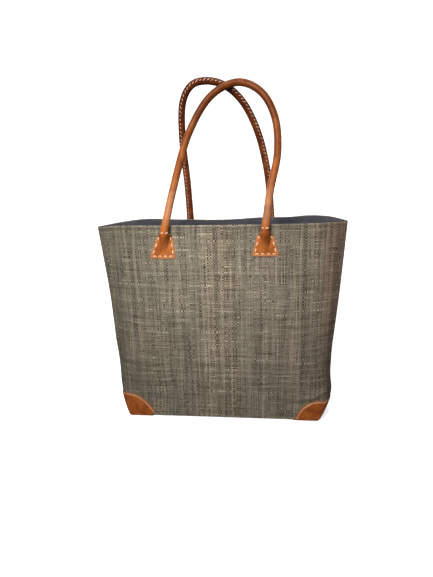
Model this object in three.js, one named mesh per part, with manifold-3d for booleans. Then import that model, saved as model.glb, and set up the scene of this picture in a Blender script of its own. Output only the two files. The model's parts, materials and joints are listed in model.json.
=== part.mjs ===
// A tall woven raffia bag with rolled leather handles, used as a knitting basket.
// Millimetres. +X is right, +Y back and +Z up, and the origin is on the floor under the base's middle.
import * as THREE from 'three';
import { mergeVertices } from 'three/addons/utils/BufferGeometryUtils.js';
import Module from 'manifold-3d';

// Body: how far the standing bag reaches, and the flat width of its cloth
const bodyHeight = 390;
const baseDepth = 88;
const mouthDepth = 101;
const clothWidthAtRim = 480;
const clothWidthAtBase = 462;
const clothFlare = 1.42;
const ridgeLean = 23;
const rimPower = 3.7;
const foldCrispness = 0.75;
const leftFootBulge = 7.5;
const rightFootBulge = 13.5;
const footBulgeHeight = 44;
const footBulgeRise = 6;
const mouthPinch = 15;
const mouthPinchReach = 62;

// Cloth, lining and board
const raffiaThickness = 1.5;
const hemHeight = 20;
const liningThickness = 1;
const liningBelowRim = 3;
const boardThickness = 2;
const boardStraight = 165;
const baseFoldRadius = 2.5;

// Leather corners and tabs
const cornerThickness = 1.4;
const cornerRadius = 107.5;
const cornerDrop = 27;
const cornerDropStart = 52;
const tabThickness = 2;
const tabWidth = 46;
const tabHeight = 47;
const tabBelowRim = 58;
const tabCornerRadius = 6;
const tabShoulderWidth = 27;
const tabShoulderHeight = 38;
const tabNeckWidth = 15;
const patchThickness = 0.9;
const patchMargin = 3;
const patchCornerRadius = 7;

// Handles: where each foot stands on its panel, how far its tab leans and how high the loop rises
const frontLeftFoot = -93.5;
const frontRightFoot = 84.5;
const frontLeftLean = 6.5;
const frontRightLean = -1;
const frontRise = 250;
const backLeftFoot = -63.5;
const backRightFoot = 97.5;
const backLeftLean = 2;
const backRightLean = 3;
const backRise = 256;
const sleeveRadius = 6.75;
const sleeveWall = 1.6;
const sleeveSlit = 0.5;
const ballRadius = 7.2;
const hingeBelowRim = 9;
const hingeTurn = 110;
const coreSetback = 10;
const neckHeight = 24;
const neckTopDrop = 4;
const neckFootSpread = 2;

// Clearances between neighbours
const gap = 0.3;
const sewnGap = 0.45;
const handleGap = 2.4;

// Fineness of the facets
const gussetColumns = 4;
const gussetCrowding = 1.6;
const wallColumns = 10;
const wallCrowding = 1.25;
const foldCrowding = 3;
const arcSamples = 240;
const crispestShare = 0.0055;
const handleSteps = 32;
const sleeveSides = 10;
const channelSides = 8;
const ballSides = 12;
const neckSides = 12;
const neckLevels = 5;
const sweepSteps = 4;
const cutterSides = 24;
const plateColumns = 5;
const cornerShares = [0, 0.15, 0.45, 1];
const shoulderShares = [0.35, 0.7, 1];
const widthHalvings = 40;
const mergeWithin = 1e-4;

// Heights between which every layer of the wall is straight, so the layers nest
const wallLevels = [9, 20, 35, 54, 80, 115, 170, 240, 295, 335];

// The loops' courses, as shares of the foot spacing and of the rise
const loopCourses = {
  front: [
    [0, 0], [0.1, 0.3], [0.27, 0.69], [0.49, 0.925], [0.74, 1],
    [0.95, 0.935], [1.08, 0.77], [1.11, 0.53], [1.04, 0.26], [1, 0],
  ],
  back: [
    [0, 0], [-0.01, 0.3], [-0.04, 0.66], [0, 0.885], [0.11, 0.98], [0.28, 1],
    [0.47, 0.97], [0.66, 0.87], [0.83, 0.67], [0.95, 0.37], [1, 0],
  ],
};

// Levels that follow from the thicknesses, from the floor up
const raffiaFloor = cornerThickness + gap;
const boardFloor = raffiaFloor + raffiaThickness + gap;
const liningFloor = boardFloor + boardThickness + gap;
const hemInset = 2 * raffiaThickness;
const liningInset = hemInset + gap;
const channelRadius = sleeveRadius - sleeveWall;
const coreRadius = channelRadius - gap;
const cutterReach = 4 * cornerRadius;
const armReach = 4 * ballRadius;
const sideSign = { front: -1, back: 1 };
const handles = {
  front: {
    leftFoot: frontLeftFoot,
    rightFoot: frontRightFoot,
    leftLean: frontLeftLean,
    rightLean: frontRightLean,
    rise: frontRise,
  },
  back: {
    leftFoot: backLeftFoot,
    rightFoot: backRightFoot,
    leftLean: backLeftLean,
    rightLean: backRightLean,
    rise: backRise,
  },
};

const wasm = await Module();
wasm.setup();

// Colours and finishes
const finish = (name, color, roughness) => (
  new THREE.MeshStandardMaterial({ name, color, roughness, metalness: 0 })
);
const raffia = finish('raffia', 0x7d7564, 0.85);
const liningCloth = finish('lining_cloth', 0x3c3e48, 0.9);
const board = finish('board', 0x8a7a60, 0.9);
const tan = finish('tan_leather', 0xb4692c, 0.5);
const brown = finish('worn_leather', 0x8c4a20, 0.5);
const flesh = finish('flesh_leather', 0xb08a62, 0.85);
const cordCore = finish('cord_core', 0xcdbb98, 0.9);

const bag = new THREE.Group();

function addPiece(name, geometry, material) {
  const mesh = new THREE.Mesh(geometry, material);
  mesh.name = name;
  bag.add(mesh);
  return mesh;
}

// Solids

function signedVolume(positions, triangles) {
  let volume = 0;
  const [a, b, c] = [new THREE.Vector3(), new THREE.Vector3(), new THREE.Vector3()];
  for (let i = 0; i < triangles.length; i += 3) {
    a.copy(positions[triangles[i]]);
    b.copy(positions[triangles[i + 1]]);
    c.copy(positions[triangles[i + 2]]);
    volume += a.dot(b.cross(c)) / 6;
  }
  return volume;
}

// A closed body from shared points and triangles that all turn the same way, faced outward
function closedGeometry(positions, triangles) {
  const outward = signedVolume(positions, triangles) > 0;
  const index = outward ? triangles : triangles.slice().reverse();
  const geometry = new THREE.BufferGeometry();
  geometry.setFromPoints(positions);
  geometry.setIndex(index);
  return geometry;
}

function toSolid(geometry) {
  const bare = geometry.clone();
  bare.deleteAttribute('normal');
  bare.deleteAttribute('uv');
  const merged = mergeVertices(bare, mergeWithin);
  const vertProperties = new Float32Array(merged.attributes.position.array);
  const triVerts = new Uint32Array(merged.index.array);
  return new wasm.Manifold(new wasm.Mesh({ numProp: 3, vertProperties, triVerts }));
}

function toGeometry(solid) {
  const mesh = solid.getMesh();
  const geometry = new THREE.BufferGeometry();
  geometry.setAttribute('position', new THREE.BufferAttribute(new Float32Array(mesh.vertProperties), 3));
  geometry.setIndex([...mesh.triVerts]);
  return geometry;
}

// Triangles of a flat outline, turning the way the outline itself turns
function capTriangles(outline, project) {
  const flat = outline.map((corner) => project(corner.point));
  const way = Math.sign(THREE.ShapeUtils.area(flat));
  const triangles = [];
  for (const [a, b, c] of THREE.ShapeUtils.triangulateShape(flat, [])) {
    const turn = Math.sign(THREE.ShapeUtils.area([flat[a], flat[b], flat[c]]));
    const order = turn === way ? [a, b, c] : [a, c, b];
    triangles.push(...order.map((i) => outline[i].index));
  }
  return triangles;
}

const fromAbove = (p) => new THREE.Vector2(p.x, p.y);

// Triangles between two lines of corners that run the same way. Lines that share their tips keep the second
// line's inner points in play to the end, so that no triangle lies flat along an edge.
function zip(first, second, key, sharedTips) {
  const triangles = [];
  const add = (...corners) => {
    if (new Set(corners.map((corner) => corner.index)).size === 3) {
      triangles.push(...corners.map((corner) => corner.index));
    }
  };
  const held = second.length - (sharedTips ? 2 : 1);
  let [i, j] = [0, sharedTips ? 1 : 0];
  while (i < first.length - 1 || j < held) {
    const firstDone = i === first.length - 1;
    if (firstDone || (j < held && key(second[j + 1].point) < key(first[i + 1].point))) {
      add(first[i], second[j + 1], second[j]);
      j += 1;
    } else {
      add(first[i], first[i + 1], second[j]);
      i += 1;
    }
  }
  return triangles;
}

const turned = (triangles) => triangles.slice().reverse();

// A shell swept by rows of points: the rows run up the outside, over the top edge and down the inside.
// The first and last rows are also the outlines of the floor's two faces. Rising and falling rows share their
// diagonals, so that a layer's inside is parallel to the outside of the next.
function shellGeometry(rows) {
  const positions = rows.flat();
  const width = rows[0].length;
  const at = (row, column) => row * width + column;
  const corner = (row, column) => ({ index: at(row, column), point: rows[row][column] });
  const last = rows.length - 1;
  const end = width - 1;
  const triangles = [];
  for (let r = 0; r < last; r += 1) {
    const falling = rows[r + 1][0].z < rows[r][0].z;
    for (let c = 0; c < end; c += 1) {
      const [a, b, d, e] = [at(r, c), at(r, c + 1), at(r + 1, c + 1), at(r + 1, c)];
      triangles.push(...(falling ? [a, b, e, b, d, e] : [a, b, d, a, d, e]));
    }
  }
  const seamPoint = (row, column) => {
    const point = new THREE.Vector3(rows[row][column].x, rows[row][0].y, rows[row][0].z);
    positions.push(point);
    return { index: positions.length - 1, point };
  };
  const seamLine = (row) => {
    const line = [corner(row, 0)];
    for (let c = gussetColumns + 2; c <= end - gussetColumns - 2; c += 1) {
      line.push(seamPoint(row, c));
    }
    return [...line, corner(row, end)];
  };
  const line = (row) => rows[row].map((_, c) => corner(row, c));
  const [lowSeam, highSeam] = [seamLine(0), seamLine(last)];
  const across = (p) => p.x;
  const upward = (p) => p.z;
  triangles.push(...turned(zip(line(0), lowSeam, across, true)));
  triangles.push(...zip(line(last), highSeam, across, true));
  for (let k = 0; k < lowSeam.length - 1; k += 1) {
    const [a, b, c, d] = [lowSeam[k], highSeam[k], highSeam[k + 1], lowSeam[k + 1]].map((mark) => mark.index);
    triangles.push(a, b, c, a, c, d);
  }
  const topRow = rows.findIndex((row, r) => r === last || rows[r + 1][0].z <= row[0].z);
  for (const column of [0, end]) {
    const edge = rows.map((_, r) => corner(r, column));
    const arm = zip(edge.slice(0, topRow + 1), edge.slice(topRow + 1).reverse(), upward, false);
    triangles.push(...(column === 0 ? arm : turned(arm)));
  }
  return closedGeometry(positions, triangles);
}

// A plate between two grids of points with the same rows and columns
function plateGeometry(faceRows, backRows) {
  const width = faceRows[0].length;
  const height = faceRows.length;
  const positions = [...faceRows.flat(), ...backRows.flat()];
  const face = (r, c) => r * width + c;
  const back = (r, c) => height * width + face(r, c);
  const triangles = [];
  const quad = (a, b, c, d) => triangles.push(a, b, c, a, c, d);
  for (let r = 0; r < height - 1; r += 1) {
    for (let c = 0; c < width - 1; c += 1) {
      quad(face(r, c), face(r, c + 1), face(r + 1, c + 1), face(r + 1, c));
      quad(back(r, c), back(r + 1, c), back(r + 1, c + 1), back(r, c + 1));
    }
    quad(face(r, 0), face(r + 1, 0), back(r + 1, 0), back(r, 0));
    quad(face(r, width - 1), back(r, width - 1), back(r + 1, width - 1), face(r + 1, width - 1));
  }
  for (let c = 0; c < width - 1; c += 1) {
    quad(face(0, c), back(0, c), back(0, c + 1), face(0, c + 1));
    quad(face(height - 1, c), face(height - 1, c + 1), back(height - 1, c + 1), back(height - 1, c));
  }
  return closedGeometry(positions, triangles);
}

// A closed body through level rings of points
function ringLoft(rings) {
  const sides = rings[0].length;
  const positions = rings.flat();
  const at = (r, s) => r * sides + (s % sides);
  const corner = (r, s) => ({ index: at(r, s), point: rings[r][s] });
  const last = rings.length - 1;
  const triangles = [];
  for (let r = 0; r < last; r += 1) {
    for (let s = 0; s < sides; s += 1) {
      triangles.push(at(r, s), at(r, s + 1), at(r + 1, s + 1));
      triangles.push(at(r, s), at(r + 1, s + 1), at(r + 1, s));
    }
  }
  const bottom = rings[0].map((_, s) => corner(0, sides - 1 - s));
  const top = rings[last].map((_, s) => corner(last, s));
  triangles.push(...capTriangles(bottom, fromAbove));
  triangles.push(...capTriangles(top, fromAbove));
  return closedGeometry(positions, triangles);
}

// Body section: at every height the cloth keeps its flat width, so a flatter wall is a wider one

const halfCurve = (halfWidth, bow, power) => {
  let length = 0;
  let before = null;
  for (let i = 0; i <= arcSamples; i += 1) {
    const share = 1 - (1 - i / arcSamples) ** foldCrowding;
    const point = new THREE.Vector2(halfWidth * share, bow * (1 - share ** power));
    length += before ? point.distanceTo(before) : 0;
    before = point;
  }
  return length;
};

function halfWidthFor(clothWidth, frontBow, backBow, power) {
  let low = 0;
  let high = clothWidth / 2;
  for (let i = 0; i < widthHalvings; i += 1) {
    const middle = (low + high) / 2;
    const length = halfCurve(middle, frontBow, power) + halfCurve(middle, backBow, power);
    if (length > clothWidth) {
      high = middle;
    } else {
      low = middle;
    }
  }
  return low;
}

const sections = new Map();

function sectionAt(z) {
  if (!sections.has(z)) {
    const t = z / bodyHeight;
    const power = rimPower * Math.max(t, crispestShare) ** -foldCrispness;
    const clothWidth = clothWidthAtBase + (clothWidthAtRim - clothWidthAtBase) * Math.max(t, 0) ** clothFlare;
    const bow = {
      front: THREE.MathUtils.lerp(baseDepth / 2, mouthDepth / 2 - ridgeLean, t),
      back: THREE.MathUtils.lerp(baseDepth / 2, mouthDepth / 2 + ridgeLean, t),
    };
    const bulgeSpread = Math.exp(-(((z - footBulgeHeight) / footBulgeHeight) ** 2));
    const bulge = bulgeSpread * (1 - Math.exp(-z / footBulgeRise));
    const halfWidth = halfWidthFor(clothWidth, bow.front, bow.back, power);
    sections.set(z, {
      power,
      bow,
      ridgeY: -ridgeLean * t,
      pinch: { front: 0, back: mouthPinch * t * t },
      left: halfWidth + leftFootBulge * bulge,
      right: halfWidth + rightFootBulge * bulge,
    });
  }
  return sections.get(z);
}

// A layer's half width: layers stay an even distance apart where the wall meets the side seam at a slant
function layerHalfWidth(side, z, hand, inset) {
  const section = sectionAt(z);
  const halfWidth = hand < 0 ? section.left : section.right;
  const slant = Math.atan(section.bow[side] * section.power / halfWidth);
  return halfWidth - inset / Math.sin(slant);
}

// A point of a wall: along runs from -1 at the left side seam to 1 at the right one, inset goes into the bag
function wallPoint(side, z, along, inset) {
  const section = sectionAt(z);
  const halfWidth = along < 0 ? section.left : section.right;
  const pinch = section.pinch[side] * Math.exp(-((along * halfWidth / mouthPinchReach) ** 2));
  const out = (section.bow[side] - inset) * (1 - Math.abs(along) ** section.power) - pinch;
  const x = along * layerHalfWidth(side, z, along, inset);
  return new THREE.Vector3(x, section.ridgeY + sideSign[side] * out, z);
}

// A point of a wall at a given x, for what is sewn to it
function wallAt(side, x, z, inset) {
  return wallPoint(side, z, x / layerHalfWidth(side, z, x, inset), inset);
}

// Where the columns of a wall's half stand, from the side seam to the middle, crowded at the gusset's fold
function columnsAt(side, z, hand) {
  const trail = [];
  let length = 0;
  for (let i = 0; i <= arcSamples; i += 1) {
    const along = 1 - (i / arcSamples) ** foldCrowding;
    const point = wallPoint(side, z, hand * along, 0);
    length += trail.length ? point.distanceTo(trail[trail.length - 1].point) : 0;
    trail.push({ point, along, length });
  }
  const gusset = baseDepth / 2;
  const stations = [];
  for (let i = 0; i < gussetColumns; i += 1) {
    stations.push(gusset * (1 - (1 - i / gussetColumns) ** gussetCrowding));
  }
  for (let i = 0; i <= wallColumns; i += 1) {
    stations.push(gusset + (length - gusset) * (i / wallColumns) ** wallCrowding);
  }
  return stations.map((station) => {
    const next = Math.max(1, trail.findIndex((mark) => mark.length >= station - mergeWithin));
    const [before, after] = [trail[next - 1], trail[next]];
    const share = (station - before.length) / (after.length - before.length);
    return THREE.MathUtils.lerp(before.along, after.along, share);
  });
}

// A row of a layer from seam to seam, held back from the seams' plane by half a gap
function wallRow(side, z, inset) {
  const section = sectionAt(z);
  const limit = (1 - gap / 2 / (section.bow[side] - inset)) ** (1 / section.power);
  const half = (hand) => (
    columnsAt(side, z, hand).map((along) => wallPoint(side, z, hand * Math.min(along, limit), inset))
  );
  return [...half(-1), ...half(1).reverse().slice(1)];
}

// A layer's walls and half floor: outside up to the top, then the inside down, with any hem in between
function layerRows(side, { floor, top, outer, thickness, hem }) {
  const inner = outer + thickness;
  const between = (low, high) => wallLevels.filter((z) => z > low && z < high);
  const hemFloor = hem ? top - hem.height : top;
  const rise = [
    [floor, outer + baseFoldRadius],
    [floor + baseFoldRadius, outer],
    ...between(floor + baseFoldRadius, hemFloor).map((z) => [z, outer]),
    ...(hem ? [[hemFloor, outer]] : []),
    [top, outer],
  ];
  const fold = hem ? [[top, hem.inset], [hemFloor, hem.inset], [hemFloor, inner]] : [[top, inner]];
  const innerFloor = floor + thickness;
  const fall = [
    ...between(innerFloor + baseFoldRadius, hemFloor).reverse().map((z) => [z, inner]),
    [innerFloor + baseFoldRadius, inner],
    [innerFloor, inner + baseFoldRadius],
  ];
  return [...rise, ...fold, ...fall].map(([z, inset]) => wallRow(side, z, inset));
}

// Raffia panels, each a wall, half of both gussets and half of the floor, with the rim turned in as a hem
function makePanel(side) {
  return shellGeometry(layerRows(side, {
    floor: raffiaFloor,
    top: bodyHeight,
    outer: 0,
    thickness: raffiaThickness,
    hem: { height: hemHeight, inset: hemInset },
  }));
}

function makeLining(side) {
  return shellGeometry(layerRows(side, {
    floor: liningFloor,
    top: bodyHeight - liningBelowRim,
    outer: liningInset,
    thickness: liningThickness,
  }));
}

// Stiffener lying in the base between the cloth and the lining
function makeBoard() {
  const inset = raffiaThickness + baseFoldRadius + gap;
  const front = wallRow('front', boardFloor, inset);
  const back = wallRow('back', boardFloor, inset).reverse();
  const rounded = [...front, ...back].filter((p) => Math.abs(p.x) > boardStraight);
  const outline = new THREE.Shape(rounded.map(fromAbove));
  const geometry = new THREE.ExtrudeGeometry(outline, { depth: boardThickness, bevelEnabled: false });
  geometry.translate(0, 0, boardFloor);
  return geometry;
}

// Leather corners: rounds of the flat bag's corner, folded over the front or back, the gusset and the base
function makeCornerShell(side) {
  return toSolid(shellGeometry(layerRows(side, {
    floor: 0,
    top: cornerRadius,
    outer: -(gap + cornerThickness),
    thickness: cornerThickness,
  })));
}

// How far a corner leather reaches from the flat bag's corner: less where it climbs to the side seam
function cornerReach(angle) {
  const start = THREE.MathUtils.degToRad(cornerDropStart);
  return cornerRadius - cornerDrop * THREE.MathUtils.smoothstep(angle, start, Math.PI / 2);
}

// The leather's edge as seen from the front, following the fold as it leans out, and as seen from the side
function cornerEdge(hand, seenFromSide) {
  const edge = [];
  for (let i = 0; i <= cutterSides; i += 1) {
    const angle = (i / cutterSides) * (Math.PI / 2);
    const climb = cornerReach(angle) * Math.sin(angle) - baseDepth / 2;
    const run = cornerReach(angle) * Math.cos(angle);
    const across = seenFromSide ? run : handWidth(climb, hand) + baseDepth / 2 - run;
    edge.push(new THREE.Vector2(across, climb));
  }
  return edge;
}

function handWidth(z, hand) {
  const section = sectionAt(Math.max(z, 0));
  return hand < 0 ? section.left : section.right;
}

// A block as deep as needed, with its section standing in the front or the side view
function uprightPrism(outline, seenFromSide) {
  const depth = 2 * cutterReach;
  const geometry = new THREE.ExtrudeGeometry(new THREE.Shape(outline), { depth, bevelEnabled: false });
  geometry.translate(0, 0, -cutterReach);
  geometry.rotateX(Math.PI / 2);
  if (seenFromSide) {
    geometry.rotateZ(Math.PI / 2);
  }
  return toSolid(geometry);
}

function cornerCutter(hand) {
  const front = cornerEdge(hand, false);
  const top = front[cutterSides].y;
  front.push(new THREE.Vector2(cutterReach, top), new THREE.Vector2(cutterReach, front[0].y));
  const side = cornerEdge(hand, true);
  const mirrored = side.map((p) => new THREE.Vector2(-p.x, p.y)).reverse().slice(1);
  const facing = front.map((p) => new THREE.Vector2(hand * p.x, p.y));
  const wall = uprightPrism(facing, false).intersect(uprightPrism([...side, ...mirrored], true));
  const disc = new THREE.CylinderGeometry(cornerRadius, cornerRadius, 2 * raffiaFloor, 4 * cutterSides);
  disc.rotateX(Math.PI / 2);
  disc.translate(hand * (handWidth(0, hand) + baseDepth / 2), 0, 0);
  return wall.add(toSolid(disc));
}

// Hinge lines: one through both necks of each handle, just clear of the tabs' faces
function hingeLine(side) {
  const { leftFoot, rightFoot } = handles[side];
  const z = bodyHeight - hingeBelowRim;
  const face = -(sewnGap + tabThickness);
  const out = [leftFoot, rightFoot].map((x) => sideSign[side] * wallAt(side, x, z, face).y);
  return { y: sideSign[side] * (Math.max(...out) + gap + ballRadius), z };
}

// Tab outline: straight sides, round lower corners, and shoulders drawn in to the neck
function tabHalfWidth(v) {
  const { lerp, smoothstep } = THREE.MathUtils;
  const sideWidth = lerp(tabWidth, tabShoulderWidth, Math.min(1, v / tabShoulderHeight)) / 2;
  const drop = Math.max(0, tabCornerRadius - v);
  const cornerLoss = tabCornerRadius - Math.sqrt(tabCornerRadius ** 2 - drop ** 2);
  const draw = smoothstep(v, tabShoulderHeight, tabHeight) * (tabShoulderWidth - tabNeckWidth) / 2;
  return sideWidth - cornerLoss - draw;
}

function sewnPlate(side, { foot, lean, bottom, heights, halfWidth, inset, thickness }) {
  const top = heights[heights.length - 1];
  const grid = (depth) => heights.map((v) => {
    const centre = foot - lean * (1 - v / top);
    return Array.from({ length: plateColumns + 1 }, (_, c) => {
      const x = centre + halfWidth(v) * (2 * c / plateColumns - 1);
      return wallAt(side, x, bottom + v, depth);
    });
  });
  return plateGeometry(grid(inset), grid(inset + thickness));
}

// The rolled leather runs down over its tab as a half-round neck that flattens out
function makeNeck(side, foot, lean) {
  const rings = [];
  const hinge = hingeLine(side);
  const top = hinge.z - neckTopDrop;
  for (let i = 0; i <= neckLevels; i += 1) {
    const share = i / neckLevels;
    const z = top - neckHeight * (1 - share);
    const swell = THREE.MathUtils.smoothstep(share, 0, 1);
    const centre = foot - lean * (bodyHeight - hingeBelowRim - z) / tabHeight;
    const root = wallAt(side, centre, z, -(sewnGap + tabThickness / 2)).y;
    const front = THREE.MathUtils.lerp(root, hinge.y + sideSign[side] * ballRadius, swell);
    const depth = Math.abs(front - root) / 2 + tabThickness / 4;
    const middle = (front + root) / 2;
    const halfWidth = ballRadius + neckFootSpread * (1 - share);
    rings.push(Array.from({ length: neckSides }, (_, s) => {
      const angle = 2 * Math.PI * s / neckSides;
      return new THREE.Vector3(centre + halfWidth * Math.cos(angle), middle + depth * Math.sin(angle), z);
    }));
  }
  return toSolid(ringLoft(rings));
}

// The space that the handle's end sweeps as the loop folds outward
function sweptHinge(side, foot) {
  const hinge = hingeLine(side);
  const armRadius = sleeveRadius + gap;
  const rest = handleLean(side);
  const turn = THREE.MathUtils.degToRad(hingeTurn);
  const start = loopCurve(side).getTangent(foot === handles[side].leftFoot ? 0 : 1);
  const sideLean = Math.atan(start.x / start.z);
  const ball = new THREE.SphereGeometry(ballRadius + gap, 2 * ballSides, ballSides);
  ball.translate(foot, hinge.y, hinge.z);
  let swept = toSolid(ball);
  for (let i = 0; i <= sweepSteps; i += 1) {
    const angle = sideSign[side] * (rest - turn * i / sweepSteps);
    const arm = new THREE.CylinderGeometry(armRadius, armRadius, armReach, 2 * ballSides);
    arm.rotateX(Math.PI / 2);
    arm.translate(0, 0, armReach / 2);
    arm.rotateY(sideLean);
    arm.rotateX(angle);
    arm.translate(foot, hinge.y, hinge.z);
    swept = swept.add(toSolid(arm));
  }
  return swept;
}

function makeTab(side, foot, lean) {
  const corners = cornerShares.map((share) => tabCornerRadius * share);
  const shoulder = shoulderShares.map((share) => THREE.MathUtils.lerp(tabShoulderHeight, tabHeight, share));
  const plate = toSolid(sewnPlate(side, {
    foot,
    lean,
    bottom: bodyHeight - tabBelowRim,
    heights: [...corners, tabShoulderHeight / 2, tabShoulderHeight, ...shoulder],
    halfWidth: tabHalfWidth,
    inset: -(sewnGap + tabThickness),
    thickness: tabThickness,
  }));
  return toGeometry(plate.add(makeNeck(side, foot, lean)).subtract(sweptHinge(side, foot)));
}

// Reinforcement behind each tab, on the inside of the raffia and under the hem
function makeInnerPatch(side, foot, lean) {
  const height = tabBelowRim - hemHeight - gap;
  const ends = cornerShares.map((share) => patchCornerRadius * share);
  const halfWidth = (v) => {
    const drop = Math.max(0, patchCornerRadius - Math.min(v, height - v));
    return tabWidth / 2 + patchMargin - patchCornerRadius + Math.sqrt(patchCornerRadius ** 2 - drop ** 2);
  };
  return sewnPlate(side, {
    foot,
    lean,
    bottom: bodyHeight - tabBelowRim,
    heights: [...ends, height / 2, ...ends.map((v) => height - v).reverse()],
    halfWidth,
    inset: raffiaThickness + sewnGap,
    thickness: patchThickness,
  });
}

// Handles: each loop lies in a plane through its hinge line, and the two planes lean together at the top
function loopCurve(side) {
  const { leftFoot, rightFoot, rise } = handles[side];
  const points = loopCourses[side].map(([across, up]) => (
    new THREE.Vector3(THREE.MathUtils.lerp(leftFoot, rightFoot, across), 0, rise * up)
  ));
  return new THREE.CatmullRomCurve3(points, false, 'centripetal');
}

function handleLean(side) {
  const crown = sleeveRadius + handleGap / 2;
  return Math.asin((Math.abs(hingeLine(side).y) - crown) / handles[side].rise);
}

// The stretch of a curve between two setbacks from its ends
class Stretch extends THREE.Curve {
  constructor(whole, setback) {
    super();
    this.whole = whole;
    this.share = setback / whole.getLength();
  }

  getPoint(t, target = new THREE.Vector3()) {
    return this.whole.getPointAt(THREE.MathUtils.lerp(this.share, 1 - this.share, t), target);
  }
}

const roundSection = (radius) => {
  const shape = new THREE.Shape();
  shape.absarc(0, 0, radius, 0, 2 * Math.PI, false);
  return shape;
};

function tube(curve, shape, sides) {
  return new THREE.ExtrudeGeometry(shape, {
    steps: handleSteps,
    extrudePath: curve,
    curveSegments: sides / 2,
    bevelEnabled: false,
  });
}

// Rolled sleeve: a leather tube closed round its core, its butted edges along the side that faces the bag
function makeSleeve(side) {
  const whole = loopCurve(side);
  const filled = new Stretch(whole, coreSetback);
  const inward = sideSign[side];
  const slit = new THREE.Shape();
  slit.moveTo(inward * coreRadius, -sleeveSlit / 2);
  slit.lineTo(inward * 2 * sleeveRadius, -sleeveSlit / 2);
  slit.lineTo(inward * 2 * sleeveRadius, sleeveSlit / 2);
  slit.lineTo(inward * coreRadius, sleeveSlit / 2);
  slit.closePath();
  let sleeve = toSolid(tube(whole, roundSection(sleeveRadius), sleeveSides));
  for (const end of [0, 1]) {
    const ball = new THREE.SphereGeometry(ballRadius, ballSides, ballSides / 2);
    ball.translate(...whole.getPoint(end).toArray());
    sleeve = sleeve.add(toSolid(ball));
  }
  sleeve = sleeve.subtract(toSolid(tube(filled, roundSection(channelRadius), channelSides)));
  sleeve = sleeve.subtract(toSolid(tube(filled, slit, 2)));
  return toGeometry(sleeve);
}

function makeCore(side) {
  return tube(new Stretch(loopCurve(side), coreSetback + gap), roundSection(coreRadius), channelSides);
}

function placeOnHinge(mesh, side) {
  const hinge = hingeLine(side);
  mesh.position.set(0, hinge.y, hinge.z);
  mesh.rotation.x = sideSign[side] * handleLean(side);
}

for (const side of ['front', 'back']) {
  addPiece(`${side}_panel`, makePanel(side), raffia);
  addPiece(`${side}_lining`, makeLining(side), liningCloth);

  const shell = makeCornerShell(side);
  addPiece(`${side}_left_corner`, toGeometry(shell.intersect(cornerCutter(-1))), brown);
  addPiece(`${side}_right_corner`, toGeometry(shell.intersect(cornerCutter(1))), brown);

  const { leftFoot, rightFoot, leftLean, rightLean } = handles[side];
  for (const [hand, foot, lean] of [['left', leftFoot, leftLean], ['right', rightFoot, rightLean]]) {
    addPiece(`${side}_${hand}_tab`, makeTab(side, foot, lean), tan);
    addPiece(`${side}_${hand}_inner_patch`, makeInnerPatch(side, foot, lean), flesh);
  }

  placeOnHinge(addPiece(`${side}_handle_sleeve`, makeSleeve(side), tan), side);
  placeOnHinge(addPiece(`${side}_handle_core`, makeCore(side), cordCore), side);
}
addPiece('base_board', makeBoard(), board);

export default bag;
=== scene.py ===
# %% [markdown]
# # A knitting basket: woven raffia, rolled leather, hand stitches
#
# The object is a tall soft bag of raffia cloth. It stands on a boxed base, has a dark cotton lining, leather
# over its four lower corners and two carrying loops of rolled leather that are sewn on with wide tabs.
# The engineering model is loaded first and never changes. Every soft piece is then rebuilt around it as a finer
# mesh, and each finish is made from nodes.

# %% Load the engineering model
import math

import bmesh
import bpy
import numpy as np
from mathutils import Matrix, Vector
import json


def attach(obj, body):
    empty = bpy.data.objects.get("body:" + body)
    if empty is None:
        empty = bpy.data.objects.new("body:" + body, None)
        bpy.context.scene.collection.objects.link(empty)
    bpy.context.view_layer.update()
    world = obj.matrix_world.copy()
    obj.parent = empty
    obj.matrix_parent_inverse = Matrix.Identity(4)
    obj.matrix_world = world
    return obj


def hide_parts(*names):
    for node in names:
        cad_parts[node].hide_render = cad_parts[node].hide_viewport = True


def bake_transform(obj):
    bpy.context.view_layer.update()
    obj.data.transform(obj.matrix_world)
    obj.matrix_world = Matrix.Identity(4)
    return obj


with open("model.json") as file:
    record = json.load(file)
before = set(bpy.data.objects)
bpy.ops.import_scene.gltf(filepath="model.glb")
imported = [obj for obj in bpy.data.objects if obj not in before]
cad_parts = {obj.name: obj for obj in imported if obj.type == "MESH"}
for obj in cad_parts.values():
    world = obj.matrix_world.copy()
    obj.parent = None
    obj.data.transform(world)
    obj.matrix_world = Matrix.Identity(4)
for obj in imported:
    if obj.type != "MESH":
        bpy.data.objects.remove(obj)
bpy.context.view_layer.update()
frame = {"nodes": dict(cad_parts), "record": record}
scene = bpy.context.scene
SIDES = {"front": -1, "back": 1}
HANDS = {"left": -1, "right": 1}
MM = 0.001

# %% [markdown]
# ## The camera
#
# The viewpoint was found by matching the bag's corners, tabs and base in the picture: a wide lens, a little to
# the right of the middle, looking down at the bag. The picture is 433 by 577 pixels, and the lens follows from
# its focal length in pixels, because Blender fits the sensor to the longer side.

# %% Place the camera
PICTURE = (433, 577)
FOCAL_PIXELS = 436.0
EYE = (0.07811, -0.81647, 0.48996)
YAW, PITCH, ROLL = 0.1064, 0.2735, -0.0268
SENSOR = 36.0

right = Vector((math.cos(YAW), math.sin(YAW), 0))
level = Vector((-math.sin(YAW), math.cos(YAW), 0))
ahead = level * math.cos(PITCH) - Vector((0, 0, math.sin(PITCH)))
up = level * math.sin(PITCH) + Vector((0, 0, math.cos(PITCH)))
across = right * math.cos(ROLL) + up * math.sin(ROLL)
upward = up * math.cos(ROLL) - right * math.sin(ROLL)


def in_scene(name, data):
    made = bpy.data.objects.new(name, data)
    scene.collection.objects.link(made)
    return made


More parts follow.
